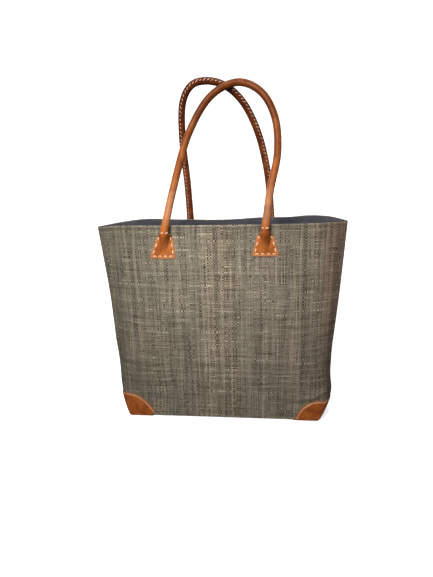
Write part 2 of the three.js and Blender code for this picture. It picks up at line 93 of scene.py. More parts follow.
lens = bpy.data.cameras.new("camera")
lens.sensor_fit = "AUTO"
lens.sensor_width = SENSOR
lens.lens = FOCAL_PIXELS / max(PICTURE) * SENSOR
lens.clip_start = 0.01
camera = in_scene("camera", lens)
turn = Matrix((across, upward, -ahead)).transposed().to_4x4()
camera.matrix_world = Matrix.Translation(EYE) @ turn
scene.camera = camera
print("camera at", EYE, "with a lens of", round(lens.lens, 1), "mm")

# %% [markdown]
# ## The shape of the standing cloth
#
# A bag's wall can't stretch. Where it stands flatter it is also wider, so its outline at each height is a curve
# of fixed length. The sizes below are the engineering model's own, in millimetres, and `wall` gives any point of
# any layer: `inset` counts inwards from the outside of the cloth, and negative values lie on it.

# %% Sizes of the body
BODY_HEIGHT = 390.0
BASE_DEPTH, MOUTH_DEPTH = 88.0, 101.0
CLOTH_AT_BASE, CLOTH_AT_RIM, CLOTH_FLARE = 462.0, 480.0, 1.42
RIDGE_LEAN = 23.0
RIM_POWER, FOLD_CRISPNESS, CRISPEST_SHARE = 3.7, 0.75, 0.0055
LEFT_BULGE, RIGHT_BULGE, BULGE_HEIGHT, BULGE_RISE = 7.5, 13.5, 44.0, 6.0
MOUTH_PINCH, PINCH_REACH = 15.0, 62.0
CLOTH, HEM_DEPTH, HEM_BOTTOM = 1.5, 3.0, 370.0
FLOOR, FOLD_RADIUS = 1.7, 2.5


def smooth(value, low, high):
    share = np.clip((value - low) / (high - low), 0, 1)
    return share * share * (3 - 2 * share)


def bows(z):
    share = z / BODY_HEIGHT
    half_mouth, half_base = MOUTH_DEPTH / 2, BASE_DEPTH / 2
    front = half_base + (half_mouth - RIDGE_LEAN - half_base) * share
    back = half_base + (half_mouth + RIDGE_LEAN - half_base) * share
    return {"front": front, "back": back}


def fold_power(z):
    return RIM_POWER * np.maximum(z / BODY_HEIGHT, CRISPEST_SHARE) ** -FOLD_CRISPNESS


def half_curve(half_width, bow, power):
    along = 1 - (1 - np.linspace(0, 1, 241)) ** 3
    x, y = half_width * along, bow * (1 - along**power)
    return np.hypot(np.diff(x), np.diff(y)).sum()


def half_width_at(z):
    share = z / BODY_HEIGHT
    cloth = CLOTH_AT_BASE + (CLOTH_AT_RIM - CLOTH_AT_BASE) * max(share, 0) ** CLOTH_FLARE
    bow, power = bows(z), fold_power(z)
    low, high = 0.0, cloth / 2
    for _ in range(40):
        middle = (low + high) / 2
        length = sum(half_curve(middle, bow[side], power) for side in SIDES)
        low, high = (low, middle) if length > cloth else (middle, high)
    return low


TABLE_Z = np.linspace(0, 400, 201)
TABLE_HALF = np.array([half_width_at(z) for z in TABLE_Z])
print("half width at the base and the rim", TABLE_HALF[0].round(1), np.interp(390, TABLE_Z, TABLE_HALF).round(1))

# %% [markdown]
# ## Waves and creases
#
# Standing cloth is never flat. Long and short waves and a few creases, the deepest above both lower corners, are
# added to the wall itself, so the lining, the tabs and the leather corners all follow them. They fade out at the
# foot, where the fold holds the cloth. A formula does this better than sculpting, because all layers share it.

# %% Waves and creases
# each crease: where it starts, where it ends (x, z) and how deep it is
CREASES = {
    "front": [((184.0, 39.0), (108.0, 33.0), 2.2), ((226.0, 60.0), (172.0, 38.0), 1.8),
              ((-150.0, 300.0), (-196.0, 210.0), 0.8), ((-97.0, 92.0), (-86.0, -25.0), 3.6)],
    "back": [((-208.0, 64.0), (-110.0, 44.0), 1.2), ((120.0, 260.0), (190.0, 180.0), 0.9)],
}


def crease(x, z, start, end, depth):
    """A shallow valley along a line, with a soft ridge above it."""
    start, end = np.array(start), np.array(end)
    line = end - start
    length = np.hypot(*line)
    line = line / length
    dx, dz = x - start[0], z - start[1]
    forward = (dx * line[0] + dz * line[1]) / length
    aside = np.abs(line[0]) * dz - np.sign(line[0]) * line[1] * dx
    fade = smooth(forward, -0.05, 0.15) * (1 - smooth(forward, 0.65, 1.1))
    return depth * fade * (0.8 * np.exp(-(((aside - 9) / 7) ** 2)) - np.exp(-((aside / 5) ** 2)))


# waves: how high they stand, then how long they are across and up; each side begins them elsewhere
LONG_WAVES, SHORT_WAVES = (1.1, 37.0, 55.0), (0.45, 16.0, 47.0)
WAVE_START = {"front": 0.9, "back": 2.3}


def ripple(side, x, z):
    start_at = WAVE_START[side]
    high, across, up = LONG_WAVES
    long_waves = high * np.sin(x / across + start_at) * np.sin(z / up + 0.5)
    high, across, up = SHORT_WAVES
    short_waves = high * np.sin(x / across + z / up + start_at)
    total = (long_waves + short_waves) * (1 - 0.5 * smooth(z, 330, 385))
    for start, end, depth in CREASES[side]:
        total = total + crease(x, z, start, end, depth)
    return total * smooth(z, 5, 40)


print("deepest crease", max(depth for group in CREASES.values() for _, _, depth in group), "mm")

# %% [markdown]
# ## Any layer of the wall
#
# All soft layers follow one wall: raffia, hem, lining and leather lie inside or outside each other at a fixed
# distance. One function gives a point of any of them, so no layer can cut through its neighbour. It also holds what
# makes this bag its own: where the rim swells, and how much wider than its pattern the cloth stands.

# %% Points of the wall
# Where the rim swells out and lifts: middle of the swell, its reach, how far out and how far up
SWELL_DEPTH = 1.6
RIM_SWELLS = {"front": [(-228.0, 30.0, 0.0, -4.2)],
              "back": [(178.0, 40.0, 9.5, 5.8), (-150.0, 42.0, 3.5, 3.0), (-228.0, 24.0, 0.0, -3.0),
                       (86.0, 45.0, 0.0, 2.2), (208.0, 20.0, 0.0, 2.6)]}


def rim_swell(side, x, z):
    out, up = 0.0, 0.0
    for middle, reach, outward, lift in RIM_SWELLS[side]:
        share = np.exp(-(((x - middle) / reach) ** 2))
        out = out + outward * share * smooth(z, 210, 390)
        up = up + lift * share * smooth(z, 330, 390)
    return out, up


# How much wider the soft cloth stands than its own curve, at the left and at the right: heights and millimetres
STANCE = {-1: ([0, 25, 60, 160, 185, 240, 275, 315, 390], [0, 0.8, 0.8, 1.2, -0.2, -1.6, -1.4, 0, 2.2]),
          1: ([0, 40, 73, 113, 150, 200, 270, 390], [0, -0.3, -1.3, 1.2, 0.5, 1.6, 3.0, 4.4])}


def layer_half_width(side, z, hand, inset):
    bulge = np.exp(-(((z - BULGE_HEIGHT) / BULGE_HEIGHT) ** 2)) * (1 - np.exp(-z / BULGE_RISE))
    extra = np.where(hand < 0, LEFT_BULGE, RIGHT_BULGE) * bulge
    extra = extra + np.where(hand < 0, np.interp(z, *STANCE[-1]), np.interp(z, *STANCE[1]))
    half = np.interp(z, TABLE_Z, TABLE_HALF) + extra
    slant = np.arctan(bows(z)[side] * fold_power(z) / half)
    return half, half - inset / np.sin(slant)


def wall(side, z, along, inset):
    """Points of a layer: along runs from -1 at the left side seam to 1 at the right one."""
    z, along, inset = np.broadcast_arrays(*(np.asarray(v, float) for v in (z, along, inset)))
    half, layer = layer_half_width(side, z, along, inset)
    bow, power = bows(z)[side], fold_power(z)
    profile = 1 - np.abs(along) ** power
    share = z / BODY_HEIGHT
    pinch = MOUTH_PINCH * share**2 * np.exp(-((along * half / PINCH_REACH) ** 2)) if side == "back" else 0
    x = along * layer
    swell, lift = rim_swell(side, x, z)
    out = (bow - inset) * profile - pinch + (ripple(side, x, z) + SWELL_DEPTH * swell) * profile
    return np.stack([x, -RIDGE_LEAN * share + SIDES[side] * out, z + lift], axis=-1)


def wall_at(side, x, z, inset):
    x, z, inset = np.broadcast_arrays(*(np.asarray(v, float) for v in (x, z, inset)))
    _, layer = layer_half_width(side, z, x, inset)
    return wall(side, z, x / layer, inset)


def along_for(side, z, hand, from_seam):
    """Where on the outline a point lies that is from_seam millimetres of cloth away from the side seam."""
    trail = 1 - np.linspace(0, 1, 400) ** 3
    points = wall(side, z, hand * trail, 0.0)
    run = np.concatenate([[0], np.cumsum(np.hypot(np.diff(points[:, 0]), np.diff(points[:, 1])))])
    return np.interp(from_seam, run, trail), run[-1]


for side in SIDES:
    print(side, "wall at the rim's middle", wall(side, BODY_HEIGHT, 0.0, 0.0).round(1))

# %% [markdown]
# ## From grids of points to closed pieces
#
# Nearly every sewn piece is a thin body between two matching grids of points, its face and its back. One helper
# joins them into a closed mesh, turns it the right way out, and stores the flat pattern as a UV map and any
# painted value as an attribute, so that weave, wear and painted edge highlights follow the cloth. A second one
# dresses the finished piece.

# %% Helper: a closed piece
def new_piece(name, points, faces, flat=None, marks=None):
    mesh = bpy.data.meshes.new(name)
    mesh.from_pydata((np.asarray(points) * MM).tolist(), [], [list(map(int, face)) for face in faces])
    if flat is not None:
        corner_of = np.empty(len(mesh.loops), int)
        mesh.loops.foreach_get("vertex_index", corner_of)
        layer = mesh.uv_layers.new(name="flat_pattern")
        layer.data.foreach_set("uv", (np.asarray(flat)[corner_of] * MM).ravel())
    for mark, values in (marks or {}).items():
        mesh.attributes.new(mark, "FLOAT", "POINT").data.foreach_set("value", np.ravel(values))
    work = bmesh.new()
    work.from_mesh(mesh)
    bmesh.ops.remove_doubles(work, verts=work.verts, dist=2e-6)
    bmesh.ops.dissolve_degenerate(work, edges=work.edges, dist=1e-6)
    if work.calc_volume(signed=True) < 0:
        bmesh.ops.reverse_faces(work, faces=work.faces)
    work.to_mesh(mesh)
    work.free()
    mesh.shade_smooth()
    mesh.set_sharp_from_angle(angle=math.radians(50))
    return in_scene(name, mesh)


def grid_quads(rows, columns, closed=False):
    index = np.arange(rows * columns).reshape(rows, columns)
    if closed:
        index = np.concatenate([index, index[:, :1]], axis=1)
    return np.stack([index[:-1, :-1], index[:-1, 1:], index[1:, 1:], index[1:, :-1]], -1).reshape(-1, 4)


def slab(name, face, back, flat=None, marks=None):
    rows, columns = face.shape[:2]
    count = rows * columns
    index = np.arange(count).reshape(rows, columns)
    rim = np.concatenate([index[0, :-1], index[:-1, -1], index[-1, :0:-1], index[:0:-1, 0]])
    following = np.roll(rim, -1)
    edge = np.stack([following, rim, rim + count, following + count], -1)
    quads = grid_quads(rows, columns)
    faces = np.concatenate([quads, quads[:, ::-1] + count, edge])
    points = np.concatenate([face.reshape(-1, 3), back.reshape(-1, 3)])
    if flat is not None:
        flat = np.concatenate([flat.reshape(-1, 2)] * 2)
    marks = {key: np.concatenate([np.ravel(v)] * 2) for key, v in (marks or {}).items()}
    return new_piece(name, points, faces, flat, marks)


def dress(piece, body, material, slot, *nodes):
    """Finish a piece: its material, the body that carries it and the nodes that it stands for."""
    piece.data.materials.clear()
    piece.data.materials.append(material)
    if body:
        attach(piece, body)
    if nodes:
        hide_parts(*nodes)
    print(piece.name, "|", body or "bends between bag and loop", "|", len(piece.data.polygons), "faces")


# %% [markdown]
# ## Node helpers
#
# Shaders and geometry trees are both made in the script. A socket takes either a plain value or another node's
# output, so one small helper that wires or sets it keeps every tree short enough to read.

# %% Helpers for node trees
def feed(tree, socket, value):
    if isinstance(value, bpy.types.NodeSocket):
        tree.links.new(value, socket)
    elif value is not None:
        socket.default_value = value


def add(tree, kind, *values, _out=0, **settings):
    """Make a node, set its options, feed its inputs in order and return one output."""
    made = tree.nodes.new(kind)
    for key, value in settings.items():
        setattr(made, key, value)
    for socket, value in zip(made.inputs, values):
        feed(tree, socket, value)
    return made.outputs[_out]


def math_of(tree, operation, *values):
    return add(tree, "ShaderNodeMath", *values, operation=operation)


def wire(tree, made, **sockets):
    """Feed a node's sockets by name, with _ for a space, and return its outputs."""
    for label, value in sockets.items():
        feed(tree, made.inputs[label.replace("_", " ")], value)
    return made.outputs


def node(tree, kind, options=None, **sockets):
    """Make a node, set its options, feed its sockets by name and return its outputs."""
    made = tree.nodes.new(kind)
    for key, value in (options or {}).items():
        setattr(made, key, value)
    return wire(tree, made, **sockets)


def axes_of(tree, vector):
    return node(tree, "ShaderNodeSeparateXYZ", Vector=vector)


def stretched(tree, vector, *factors):
    return add(tree, "ShaderNodeVectorMath", vector, factors, operation="MULTIPLY")


def flat_pattern(tree):
    return node(tree, "ShaderNodeUVMap", {"uv_map": "flat_pattern"})["UV"]


def noise_of(tree, vector, scale, detail=2.0, roughness=0.5, distortion=0.0):
    return node(tree, "ShaderNodeTexNoise", Vector=vector, Scale=scale, Detail=detail, Roughness=roughness,
                Distortion=distortion)["Fac"]


def span(tree, value, low, high, to_low=0.0, to_high=1.0):
    """A soft step from to_low, at low, to to_high, at high."""
    return add(tree, "ShaderNodeMapRange", value, low, high, to_low, to_high, interpolation_type="SMOOTHSTEP")


# %% [markdown]
# ## Helpers for colours and materials
#
# A finish starts from a pattern between 0 and 1. A ramp turns it into a colour, mixes lay one colour over another,
# and a bump makes the light feel the pattern without any mesh. Groups hold what several materials share.

# %% Helpers for colours and materials
def color_from(tree, *channels):
    """A colour from three channels, or a grey from one."""
    return add(tree, "ShaderNodeCombineColor", *(channels * 3)[:3])


def mix_color(tree, share, first, second, blend="MIX"):
    made = tree.nodes.new("ShaderNodeMix")
    made.data_type, made.blend_type, made.clamp_factor = "RGBA", blend, True
    feed(tree, made.inputs["Factor"], share)
    feed(tree, made.inputs[6], first)
    feed(tree, made.inputs[7], second)
    return made.outputs[2]


def multiplied(tree, color, *factors):
    for factor in factors:
        color = mix_color(tree, 1.0, color, factor, "MULTIPLY")
    return color


def ramp_of(tree, value, *stops):
    made = tree.nodes.new("ShaderNodeValToRGB")
    stops_of = made.color_ramp.elements
    while len(stops_of) < len(stops):
        stops_of.new(0.5)
    for stop, (position, color) in zip(stops_of, stops):
        stop.position = position
        stop.color = (*color, 1.0)
    feed(tree, made.inputs["Fac"], value)
    return made.outputs["Color"]


def new_group(name, inputs, outputs, kind="ShaderNodeTree"):
    """A node group with its sockets: returns the tree, what it is given and where its results go."""
    tree = bpy.data.node_groups.new(name, kind)
    for label, socket_kind, value in inputs:
        socket = tree.interface.new_socket(label, in_out="INPUT", socket_type=socket_kind)
        if value is not None:
            socket.default_value = value
    for label, socket_kind in outputs:
        tree.interface.new_socket(label, in_out="OUTPUT", socket_type=socket_kind)
    return tree, tree.nodes.new("NodeGroupInput").outputs, tree.nodes.new("NodeGroupOutput").inputs


def new_material(name):
    material = bpy.data.materials.new(name)
    material.use_nodes = True
    return material, material.node_tree, material.node_tree.nodes["Principled BSDF"]


def bumped(tree, surface, height, distance):
    bump = node(tree, "ShaderNodeBump", Strength=1.0, Distance=distance, Height=height)
    wire(tree, surface, Normal=bump["Normal"])


# %% [markdown]
# ## One weave for two cloths
#
# Raffia cloth and cotton lining are both plain weave: each upright thread passes over one crosswise thread and
# under the next. The group counts the threads in the flat pattern, lets them wander, makes some wider than others
# and says which one lies on top. Every thread has its own tone, which drifts along it and changes a little from
# one float to the next. Each cloth then colours that in its own way. Counting threads in a shader needs no mesh for
# each of them, and the weave keeps its size however the cloth is bent.

# %% Shader group: plain weave
FLOAT, VECTOR = "NodeSocketFloat", "NodeSocketVector"
weave_group, given, result = new_group(
    "plain_weave",
    [("Flat", VECTOR, None), ("Upright Width", FLOAT, 0.0024), ("Cross Width", FLOAT, 0.0024),
     ("Wander", FLOAT, 0.0012), ("Uneven", FLOAT, 0.0), ("Seed", FLOAT, 0.0)],
    [("Upright Shows", FLOAT), ("Upright Value", FLOAT), ("Cross Value", FLOAT), ("Height", FLOAT)],
)
g = weave_group
parts = axes_of(g, given["Flat"])
sway = noise_of(g, stretched(g, given["Flat"], 1.0, 0.25, 1.0), 95.0)
drift = noise_of(g, stretched(g, given["Flat"], 0.25, 1.0, 1.0), 80.0)
counts = []
for axis, wander, width, keep in (("X", sway, "Upright Width", (1.0, 0.04, 0.0)),
                                  ("Y", drift, "Cross Width", (0.04, 1.0, 0.0))):
    moved = math_of(g, "MULTIPLY", math_of(g, "SUBTRACT", wander, 0.5), given["Wander"])
    broad = noise_of(g, stretched(g, given["Flat"], *keep), 230.0, 0.0)
    moved = math_of(g, "MULTIPLY_ADD", math_of(g, "SUBTRACT", broad, 0.5), given["Uneven"], moved)
    counts.append(math_of(g, "DIVIDE", math_of(g, "ADD", parts[axis], moved), given[width]))
whole = [math_of(g, "FLOOR", count) for count in counts]
swell = []
for count in counts:
    centred = math_of(g, "SUBTRACT", math_of(g, "FRACT", count), 0.5)
    swell.append(math_of(g, "SUBTRACT", 0.6, math_of(g, "MULTIPLY", math_of(g, "POWER", centred, 2.0), 2.4)))
over = [math_of(g, "SINE", math_of(g, "MULTIPLY", math_of(g, "ADD", counts[1 - k], whole[k]), math.pi))
        for k in (0, 1)]
upright = math_of(g, "MULTIPLY_ADD", over[0], 0.5, swell[0])
cross = math_of(g, "MULTIPLY_ADD", over[1], -0.5, swell[1])
shows = math_of(g, "GREATER_THAN", upright, cross)
feed(g, result["Upright Shows"], shows)
feed(g, result["Height"], math_of(g, "MAXIMUM", upright, cross))
# for each direction: the pace of the change along the thread, then how much the thread's own tone counts, its slow
# change and every single float
TONES = ((0, "Upright Value", "Y", 11.0, 0.50, 1.5, 0.22), (1, "Cross Value", "X", 20.0, 0.45, 1.7, 0.24))
for k, label, run_axis, pace, own, slow, single in TONES:
    shifted = math_of(g, "ADD", math_of(g, "MULTIPLY_ADD", whole[k], 1.37, 31.0 * k), given["Seed"])
    fixed = add(g, "ShaderNodeTexWhiteNoise", None, shifted, noise_dimensions="1D")
    place = add(g, "ShaderNodeCombineXYZ", math_of(g, "MULTIPLY", shifted, 3.1),
                math_of(g, "MULTIPLY", parts[run_axis], pace), 0.0)
    tone = math_of(g, "SUBTRACT", noise_of(g, place, 1.0, 1.0), 0.5)
    varied = math_of(g, "MULTIPLY_ADD", tone, slow, 0.5 - own / 2)
    half_row = math_of(g, "MULTIPLY", whole[k], 0.5)
    crossing = math_of(g, "FLOOR", math_of(g, "MULTIPLY_ADD", counts[1 - k], 0.5, half_row))
    each = add(g, "ShaderNodeTexWhiteNoise", add(g, "ShaderNodeCombineXYZ", whole[k], crossing, 2.0 + k))
    paler = math_of(g, "MULTIPLY", math_of(g, "PINGPONG", whole[k], 1.0), 0.10 - 0.10 * k)
    value = math_of(g, "ADD", math_of(g, "MULTIPLY_ADD", fixed, own, paler), varied)
    feed(g, result[label], math_of(g, "MULTIPLY_ADD", math_of(g, "SUBTRACT", each, 0.5), single, value))
print("group", g.name, "with", len(g.nodes), "nodes")

# %% [markdown]
# ## Raffia
#
# Raffia is split palm leaf, so each thread is a flat ribbon of its own colour: olive, grey, straw, now and then
# nearly black. Dark uprights show as dotted lines because every second crossing hides them. Broad stripes, soft
# bands and cloudy patches are laid over the weave. The middle stripe is partly painted light, and the cloth gets
# painted shade towards both side seams, towards the foot and where a thread lies low between crossings. There is a
# dark line where the rim is sewn and a paler fold above it.

# %% Raffia material
raffia, t, surface = new_material("woven_raffia")
flat = flat_pattern(t)
woven = node(t, "ShaderNodeGroup", {"node_tree": weave_group}, Flat=flat, Upright_Width=0.0024,
             Cross_Width=0.0025, Wander=0.0018, Uneven=0.0050, Seed=3.0)
upright_color = ramp_of(t, woven["Upright Value"], (0.18, (0.036, 0.028, 0.018)), (0.38, (0.064, 0.052, 0.035)),
                        (0.52, (0.135, 0.117, 0.085)), (0.72, (0.215, 0.190, 0.145)), (1.0, (0.33, 0.290, 0.228)))
cross_color = ramp_of(t, woven["Cross Value"], (0.0, (0.105, 0.091, 0.066)), (0.28, (0.195, 0.172, 0.130)),
                      (0.70, (0.300, 0.267, 0.206)), (1.0, (0.46, 0.42, 0.34)))
thread = mix_color(t, woven["Upright Shows"], cross_color, upright_color)
# painted shade: the weave is darkened where a thread lies low between crossings
painted_crevice_shade = color_from(t, span(t, woven["Height"], 0.30, 0.85, 0.72, 1.0))
bands = noise_of(t, stretched(t, flat, 1.0, 0.05, 1.0), 60.0, 3.0)
clouds = noise_of(t, stretched(t, flat, 1.0, 0.6, 1.0), 17.0, 3.0)
tint = ramp_of(t, bands, (0.30, (0.80, 0.79, 0.81)), (0.5, (0.98, 0.98, 0.96)), (0.72, (1.18, 1.12, 1.06)))
patch = ramp_of(t, clouds, (0.32, (0.88, 0.89, 0.85)), (0.5, (1.0, 1.0, 1.0)), (0.68, (1.10, 1.03, 1.05)))
run = axes_of(t, flat)
# across the half bag, from the left side seam to the right one: a pale stripe in the middle, partly painted light,
# and painted shade towards both side seams
stripes_and_painted_light = ramp_of(t, span(t, run["X"], -0.25, 0.25), (0.04, (0.69, 0.69, 0.67)),
                  (0.14, (0.86, 0.87, 0.84)), (0.34, (0.90, 0.92, 0.90)),
                  (0.45, (1.17, 1.12, 1.09)), (0.56, (1.11, 1.05, 1.00)), (0.66, (0.90, 0.91, 0.91)),
                  (0.90, (0.88, 0.85, 0.83)), (0.955, (0.87, 0.82, 0.79)), (0.982, (0.74, 0.61, 0.58)),
                  (1.0, (0.68, 0.53, 0.50)))
# painted shade: the cloth is darker towards the foot
foot = color_from(t, span(t, run["Y"], 0.0, 0.30, 0.78, 1.0))
thread = multiplied(t, thread, painted_crevice_shade, tint, patch, stripes_and_painted_light, foot)
sewn_in = math_of(t, "MULTIPLY", span(t, run["Y"], 0.3836, 0.3850), span(t, run["Y"], 0.3862, 0.3874, 1.0, 0.0))
thread = mix_color(t, math_of(t, "MULTIPLY", sewn_in, 0.55), thread, (0.052, 0.043, 0.031, 1.0))
# the top of the rolled fold is mixed a little paler
paler_fold = span(t, run["Y"], 0.3878, 0.3895, 0.0, 0.06)
thread = mix_color(t, paler_fold, thread, (0.36, 0.32, 0.27, 1.0))
fibres = noise_of(t, stretched(t, flat, 1.0, 0.12, 1.0), 4200.0, 1.0)
wire(t, surface, Base_Color=mix_color(t, 0.20, thread, color_from(t, fibres), "OVERLAY"),
     Roughness=span(t, woven["Height"], 0.2, 1.0, 0.85, 0.62), Specular_IOR_Level=0.35)
bumped(t, surface, math_of(t, "MULTIPLY_ADD", fibres, 0.15, woven["Height"]), 0.0006)
print("material", raffia.name, "with", len(t.nodes), "nodes")

# %% [markdown]
# ## Lining cotton
#
# The lining is the same weave, much finer and nearly one colour, a dark slate blue-grey. Fine lint and slow
# fading keep it from looking painted. It has no shine beyond the soft sheen that cotton fibres give.

# %% Lining material
cotton, t, surface = new_material("slate_cotton")
flat = flat_pattern(t)
woven = node(t, "ShaderNodeGroup", {"node_tree": weave_group}, Flat=flat, Upright_Width=0.0008,
             Cross_Width=0.0008, Wander=0.0005, Seed=11.0)
value = math_of(t, "MULTIPLY", math_of(t, "ADD", woven["Upright Value"], woven["Cross Value"]), 0.5)
cloth_color = ramp_of(t, value, (0.1, (0.030, 0.031, 0.038)), (0.9, (0.056, 0.058, 0.071)))
faded = noise_of(t, flat, 22.0, 3.0)
cloth_color = mix_color(t, span(t, faded, 0.4, 0.7, 0.0, 0.5), cloth_color, (0.082, 0.086, 0.104, 1.0))
wire(t, surface, Base_Color=cloth_color, Roughness=0.88, Sheen_Weight=0.15, Specular_IOR_Level=0.25)
bumped(t, surface, woven["Height"], 0.00022)
print("material", cotton.name, "with", len(t.nodes), "nodes")

# %% [markdown]
# ## Leather grain
#
# Tabs, loops and corners are the same tanned hide at different ages. The group gives what they share: pebbled
# grain, fine folds, slow clouds of dye and dark specks. It works from the place in space, since leather has no
# threads that would have to follow a pattern.

# %% Shader group: leather grain
grain_group, given, result = new_group(
    "leather_grain",
    [("Place", VECTOR, None), ("Pebble Scale", FLOAT, 750.0), ("Cloud Scale", FLOAT, 38.0), ("Wrinkle", FLOAT, 0.3)],
    [("Height", FLOAT), ("Cloud", FLOAT), ("Speck", FLOAT)],
)
g = grain_group
cells = node(g, "ShaderNodeTexVoronoi", {"feature": "SMOOTH_F1"}, Vector=given["Place"],
             Scale=given["Pebble Scale"], Smoothness=0.6)
fine = noise_of(g, given["Place"], math_of(g, "MULTIPLY", given["Pebble Scale"], 2.6), 3.0, 0.6)
folds = noise_of(g, given["Place"], math_of(g, "MULTIPLY", given["Cloud Scale"], 4.5), 4.0, 0.62, 1.4)
pebble = math_of(g, "SUBTRACT", 1.0, cells["Distance"])
height = math_of(g, "MULTIPLY_ADD", fine, 0.35, math_of(g, "MULTIPLY", pebble, 0.5))
feed(g, result["Height"], math_of(g, "MULTIPLY_ADD", folds, given["Wrinkle"], height))
feed(g, result["Cloud"], noise_of(g, given["Place"], given["Cloud Scale"], 5.0, 0.6, 0.6))
feed(g, result["Speck"], span(g, fine, 0.62, 0.75))
print("group", g.name, "with", len(g.nodes), "nodes")

# %% [markdown]
# ## Four leathers
#
# The front loop and its tabs are tan, the rear ones the same tan darkened as painted shade. Both loops get darker
# from about 420 mm up, and the foot of the front loop is paler where it bends, as a painted highlight. The corners
# are older, with a pale pressed margin, partly a painted highlight, and a dark cut edge, and the hidden patches show
# their rough flesh side. One function mixes all four. An attribute holds each point's distance from the piece's edge
# in millimetres, so margins follow any outline.

# %% Leather materials
# height in metres over which a loop darkens: none below the first, all above the second; red fades least
DARKER_FROM, DARKER_TO, WARMTH = 0.42, 0.60, (1.0, 0.80, 0.62)


def leather(name, dark, middle, light, edge, roughness, grain=0.00016, wrinkle=0.3, cloud=38.0, upper_tone=1.0,
            painted_highlight=0.0, margin_width=4.0, margin_share=0.38, cut_tone=0.62, cut_width=0.9):
    """A tanned leather: edge colours its pressed margin, partly a painted highlight, and its cut edge; the loops
    darken from about 420 mm up.
    """
    material, t, surface = new_material(name)
    place = add(t, "ShaderNodeTexCoord", _out=3)
    hide = node(t, "ShaderNodeGroup", {"node_tree": grain_group}, Place=place, Pebble_Scale=750.0,
                Cloud_Scale=cloud, Wrinkle=wrinkle)
    color = ramp_of(t, hide["Cloud"], (0.32, dark), (0.5, middle), (0.70, light))
    color = mix_color(t, math_of(t, "MULTIPLY", hide["Speck"], 0.35), color, (*dark, 1.0))
    height = axes_of(t, place)["Z"]
    upper_darkening = [span(t, height, DARKER_FROM, DARKER_TO, 1.0, upper_tone * warm) for warm in WARMTH]
    color = multiplied(t, color, color_from(t, *upper_darkening))
    # painted highlight: the front loop's feet, just above the tabs, are mixed towards a pale pink
    pale = math_of(t, "MULTIPLY", span(t, height, 0.385, 0.41, 0.0, painted_highlight), span(t, height, 0.43, 0.475, 1.0, 0.0))
    color = mix_color(t, pale, color, (0.45, 0.31, 0.22, 1.0))
    from_edge = add(t, "ShaderNodeAttribute", attribute_name="from_edge", _out=2)
    # the pale margin is pressed and worn leather, and partly a painted highlight where the pressed edge catches the
    # light
    margin = span(t, from_edge, 0.8 * margin_width, 1.2 * margin_width, margin_share, 0.0)
    color = mix_color(t, margin, color, (*edge, 1.0))
    cut = span(t, from_edge, 0.4 * cut_width, cut_width, 0.75, 0.0)
    color = mix_color(t, cut, color, tuple(cut_tone * v for v in edge) + (1.0,))
    shine = span(t, hide["Cloud"], 0.3, 0.7, roughness + 0.07, roughness - 0.05)
    wire(t, surface, Base_Color=color, Roughness=shine, IOR=1.25, Specular_Tint=(1.0, 0.80, 0.64, 1.0))
    bumped(t, surface, hide["Height"], grain)
    print("material", name, "with", len(t.nodes), "nodes")
    return material


tan = leather("tan_rolled_leather", (0.210, 0.053, 0.012), (0.350, 0.099, 0.021), (0.47, 0.158, 0.040),
              (0.56, 0.25, 0.115), 0.34, upper_tone=0.34, painted_highlight=0.22)
# painted shade: the rear loop and its tabs get the front tan made darker, for the shadow they stand in
painted_shade_tan = leather("painted_shade_rolled_leather", (0.088, 0.020, 0.007), (0.168, 0.041, 0.012), (0.26, 0.073, 0.022),
                     (0.34, 0.14, 0.055), 0.38, upper_tone=0.42)
corner_brown = leather("corner_leather", (0.160, 0.040, 0.009), (0.232, 0.061, 0.014), (0.32, 0.098, 0.024),
                       (0.62, 0.30, 0.16), 0.46, 0.00022, 0.5, 55.0, margin_width=4.6, margin_share=0.75,
                       cut_tone=0.10, cut_width=3.2)
suede = leather("flesh_side_leather", (0.34, 0.21, 0.11), (0.46, 0.29, 0.16), (0.56, 0.37, 0.21),
                (0.50, 0.33, 0.19), 0.86, 0.0003, 0.2)

# %% [markdown]
# ## Threads
#
# The tabs are sewn with a thick pale waxed linen, the loops with the same thread darkened by hands, the corners with
# thin brown, the rim with grey and the lining with slate. The cord in the loops is loose cotton. At this size a
# thread is told by its twist, so one fine slanting wave gives both its colour bands and its relief.

# %% Thread materials
def thread_material(name, dark, light, roughness=0.6):
    """Waxed thread: fine twisted strands, told from each other by light and dark bands."""
    material, t, surface = new_material(name)
    place = add(t, "ShaderNodeTexCoord", _out=3)
    strands = node(t, "ShaderNodeTexWave", {"bands_direction": "DIAGONAL"}, Vector=place, Scale=420.0,
                   Distortion=1.5)
    fuzz = noise_of(t, place, 900.0, 2.0)
    value = math_of(t, "MULTIPLY_ADD", strands["Fac"], 0.6, math_of(t, "MULTIPLY", fuzz, 0.4))
    wire(t, surface, Base_Color=ramp_of(t, value, (0.1, dark), (0.75, light)), Roughness=roughness)
    bumped(t, surface, value, 0.00012)
    print("material", name, "with", len(t.nodes), "nodes")
    return material


peach_thread = thread_material("waxed_linen_thread", (0.62, 0.34, 0.19), (0.95, 0.66, 0.46))
rose_thread = thread_material("handled_linen_thread", (0.33, 0.16, 0.10), (0.60, 0.36, 0.26))
slate_thread = thread_material("slate_sewing_thread", (0.040, 0.042, 0.052), (0.095, 0.098, 0.120))
brown_thread = thread_material("brown_sewing_thread", (0.16, 0.05, 0.014), (0.32, 0.12, 0.045))
grey_thread = thread_material("grey_sewing_thread", (0.13, 0.115, 0.085), (0.26, 0.235, 0.185))
cord_cotton = thread_material("cord_cotton", (0.46, 0.38, 0.26), (0.72, 0.63, 0.47), 0.85)

# %% [markdown]
# ## The raffia cloth
#
# Each side of the bag is one sheet: the wall, half of both gussets, half of the floor, and a rim that rolls over
# and runs down inside as a hem. The sheet is measured along the cloth, so its columns crowd at the folds and the
# weave keeps its true size. Where the two sheets are seamed, the edges dip inwards as sewn edges do.

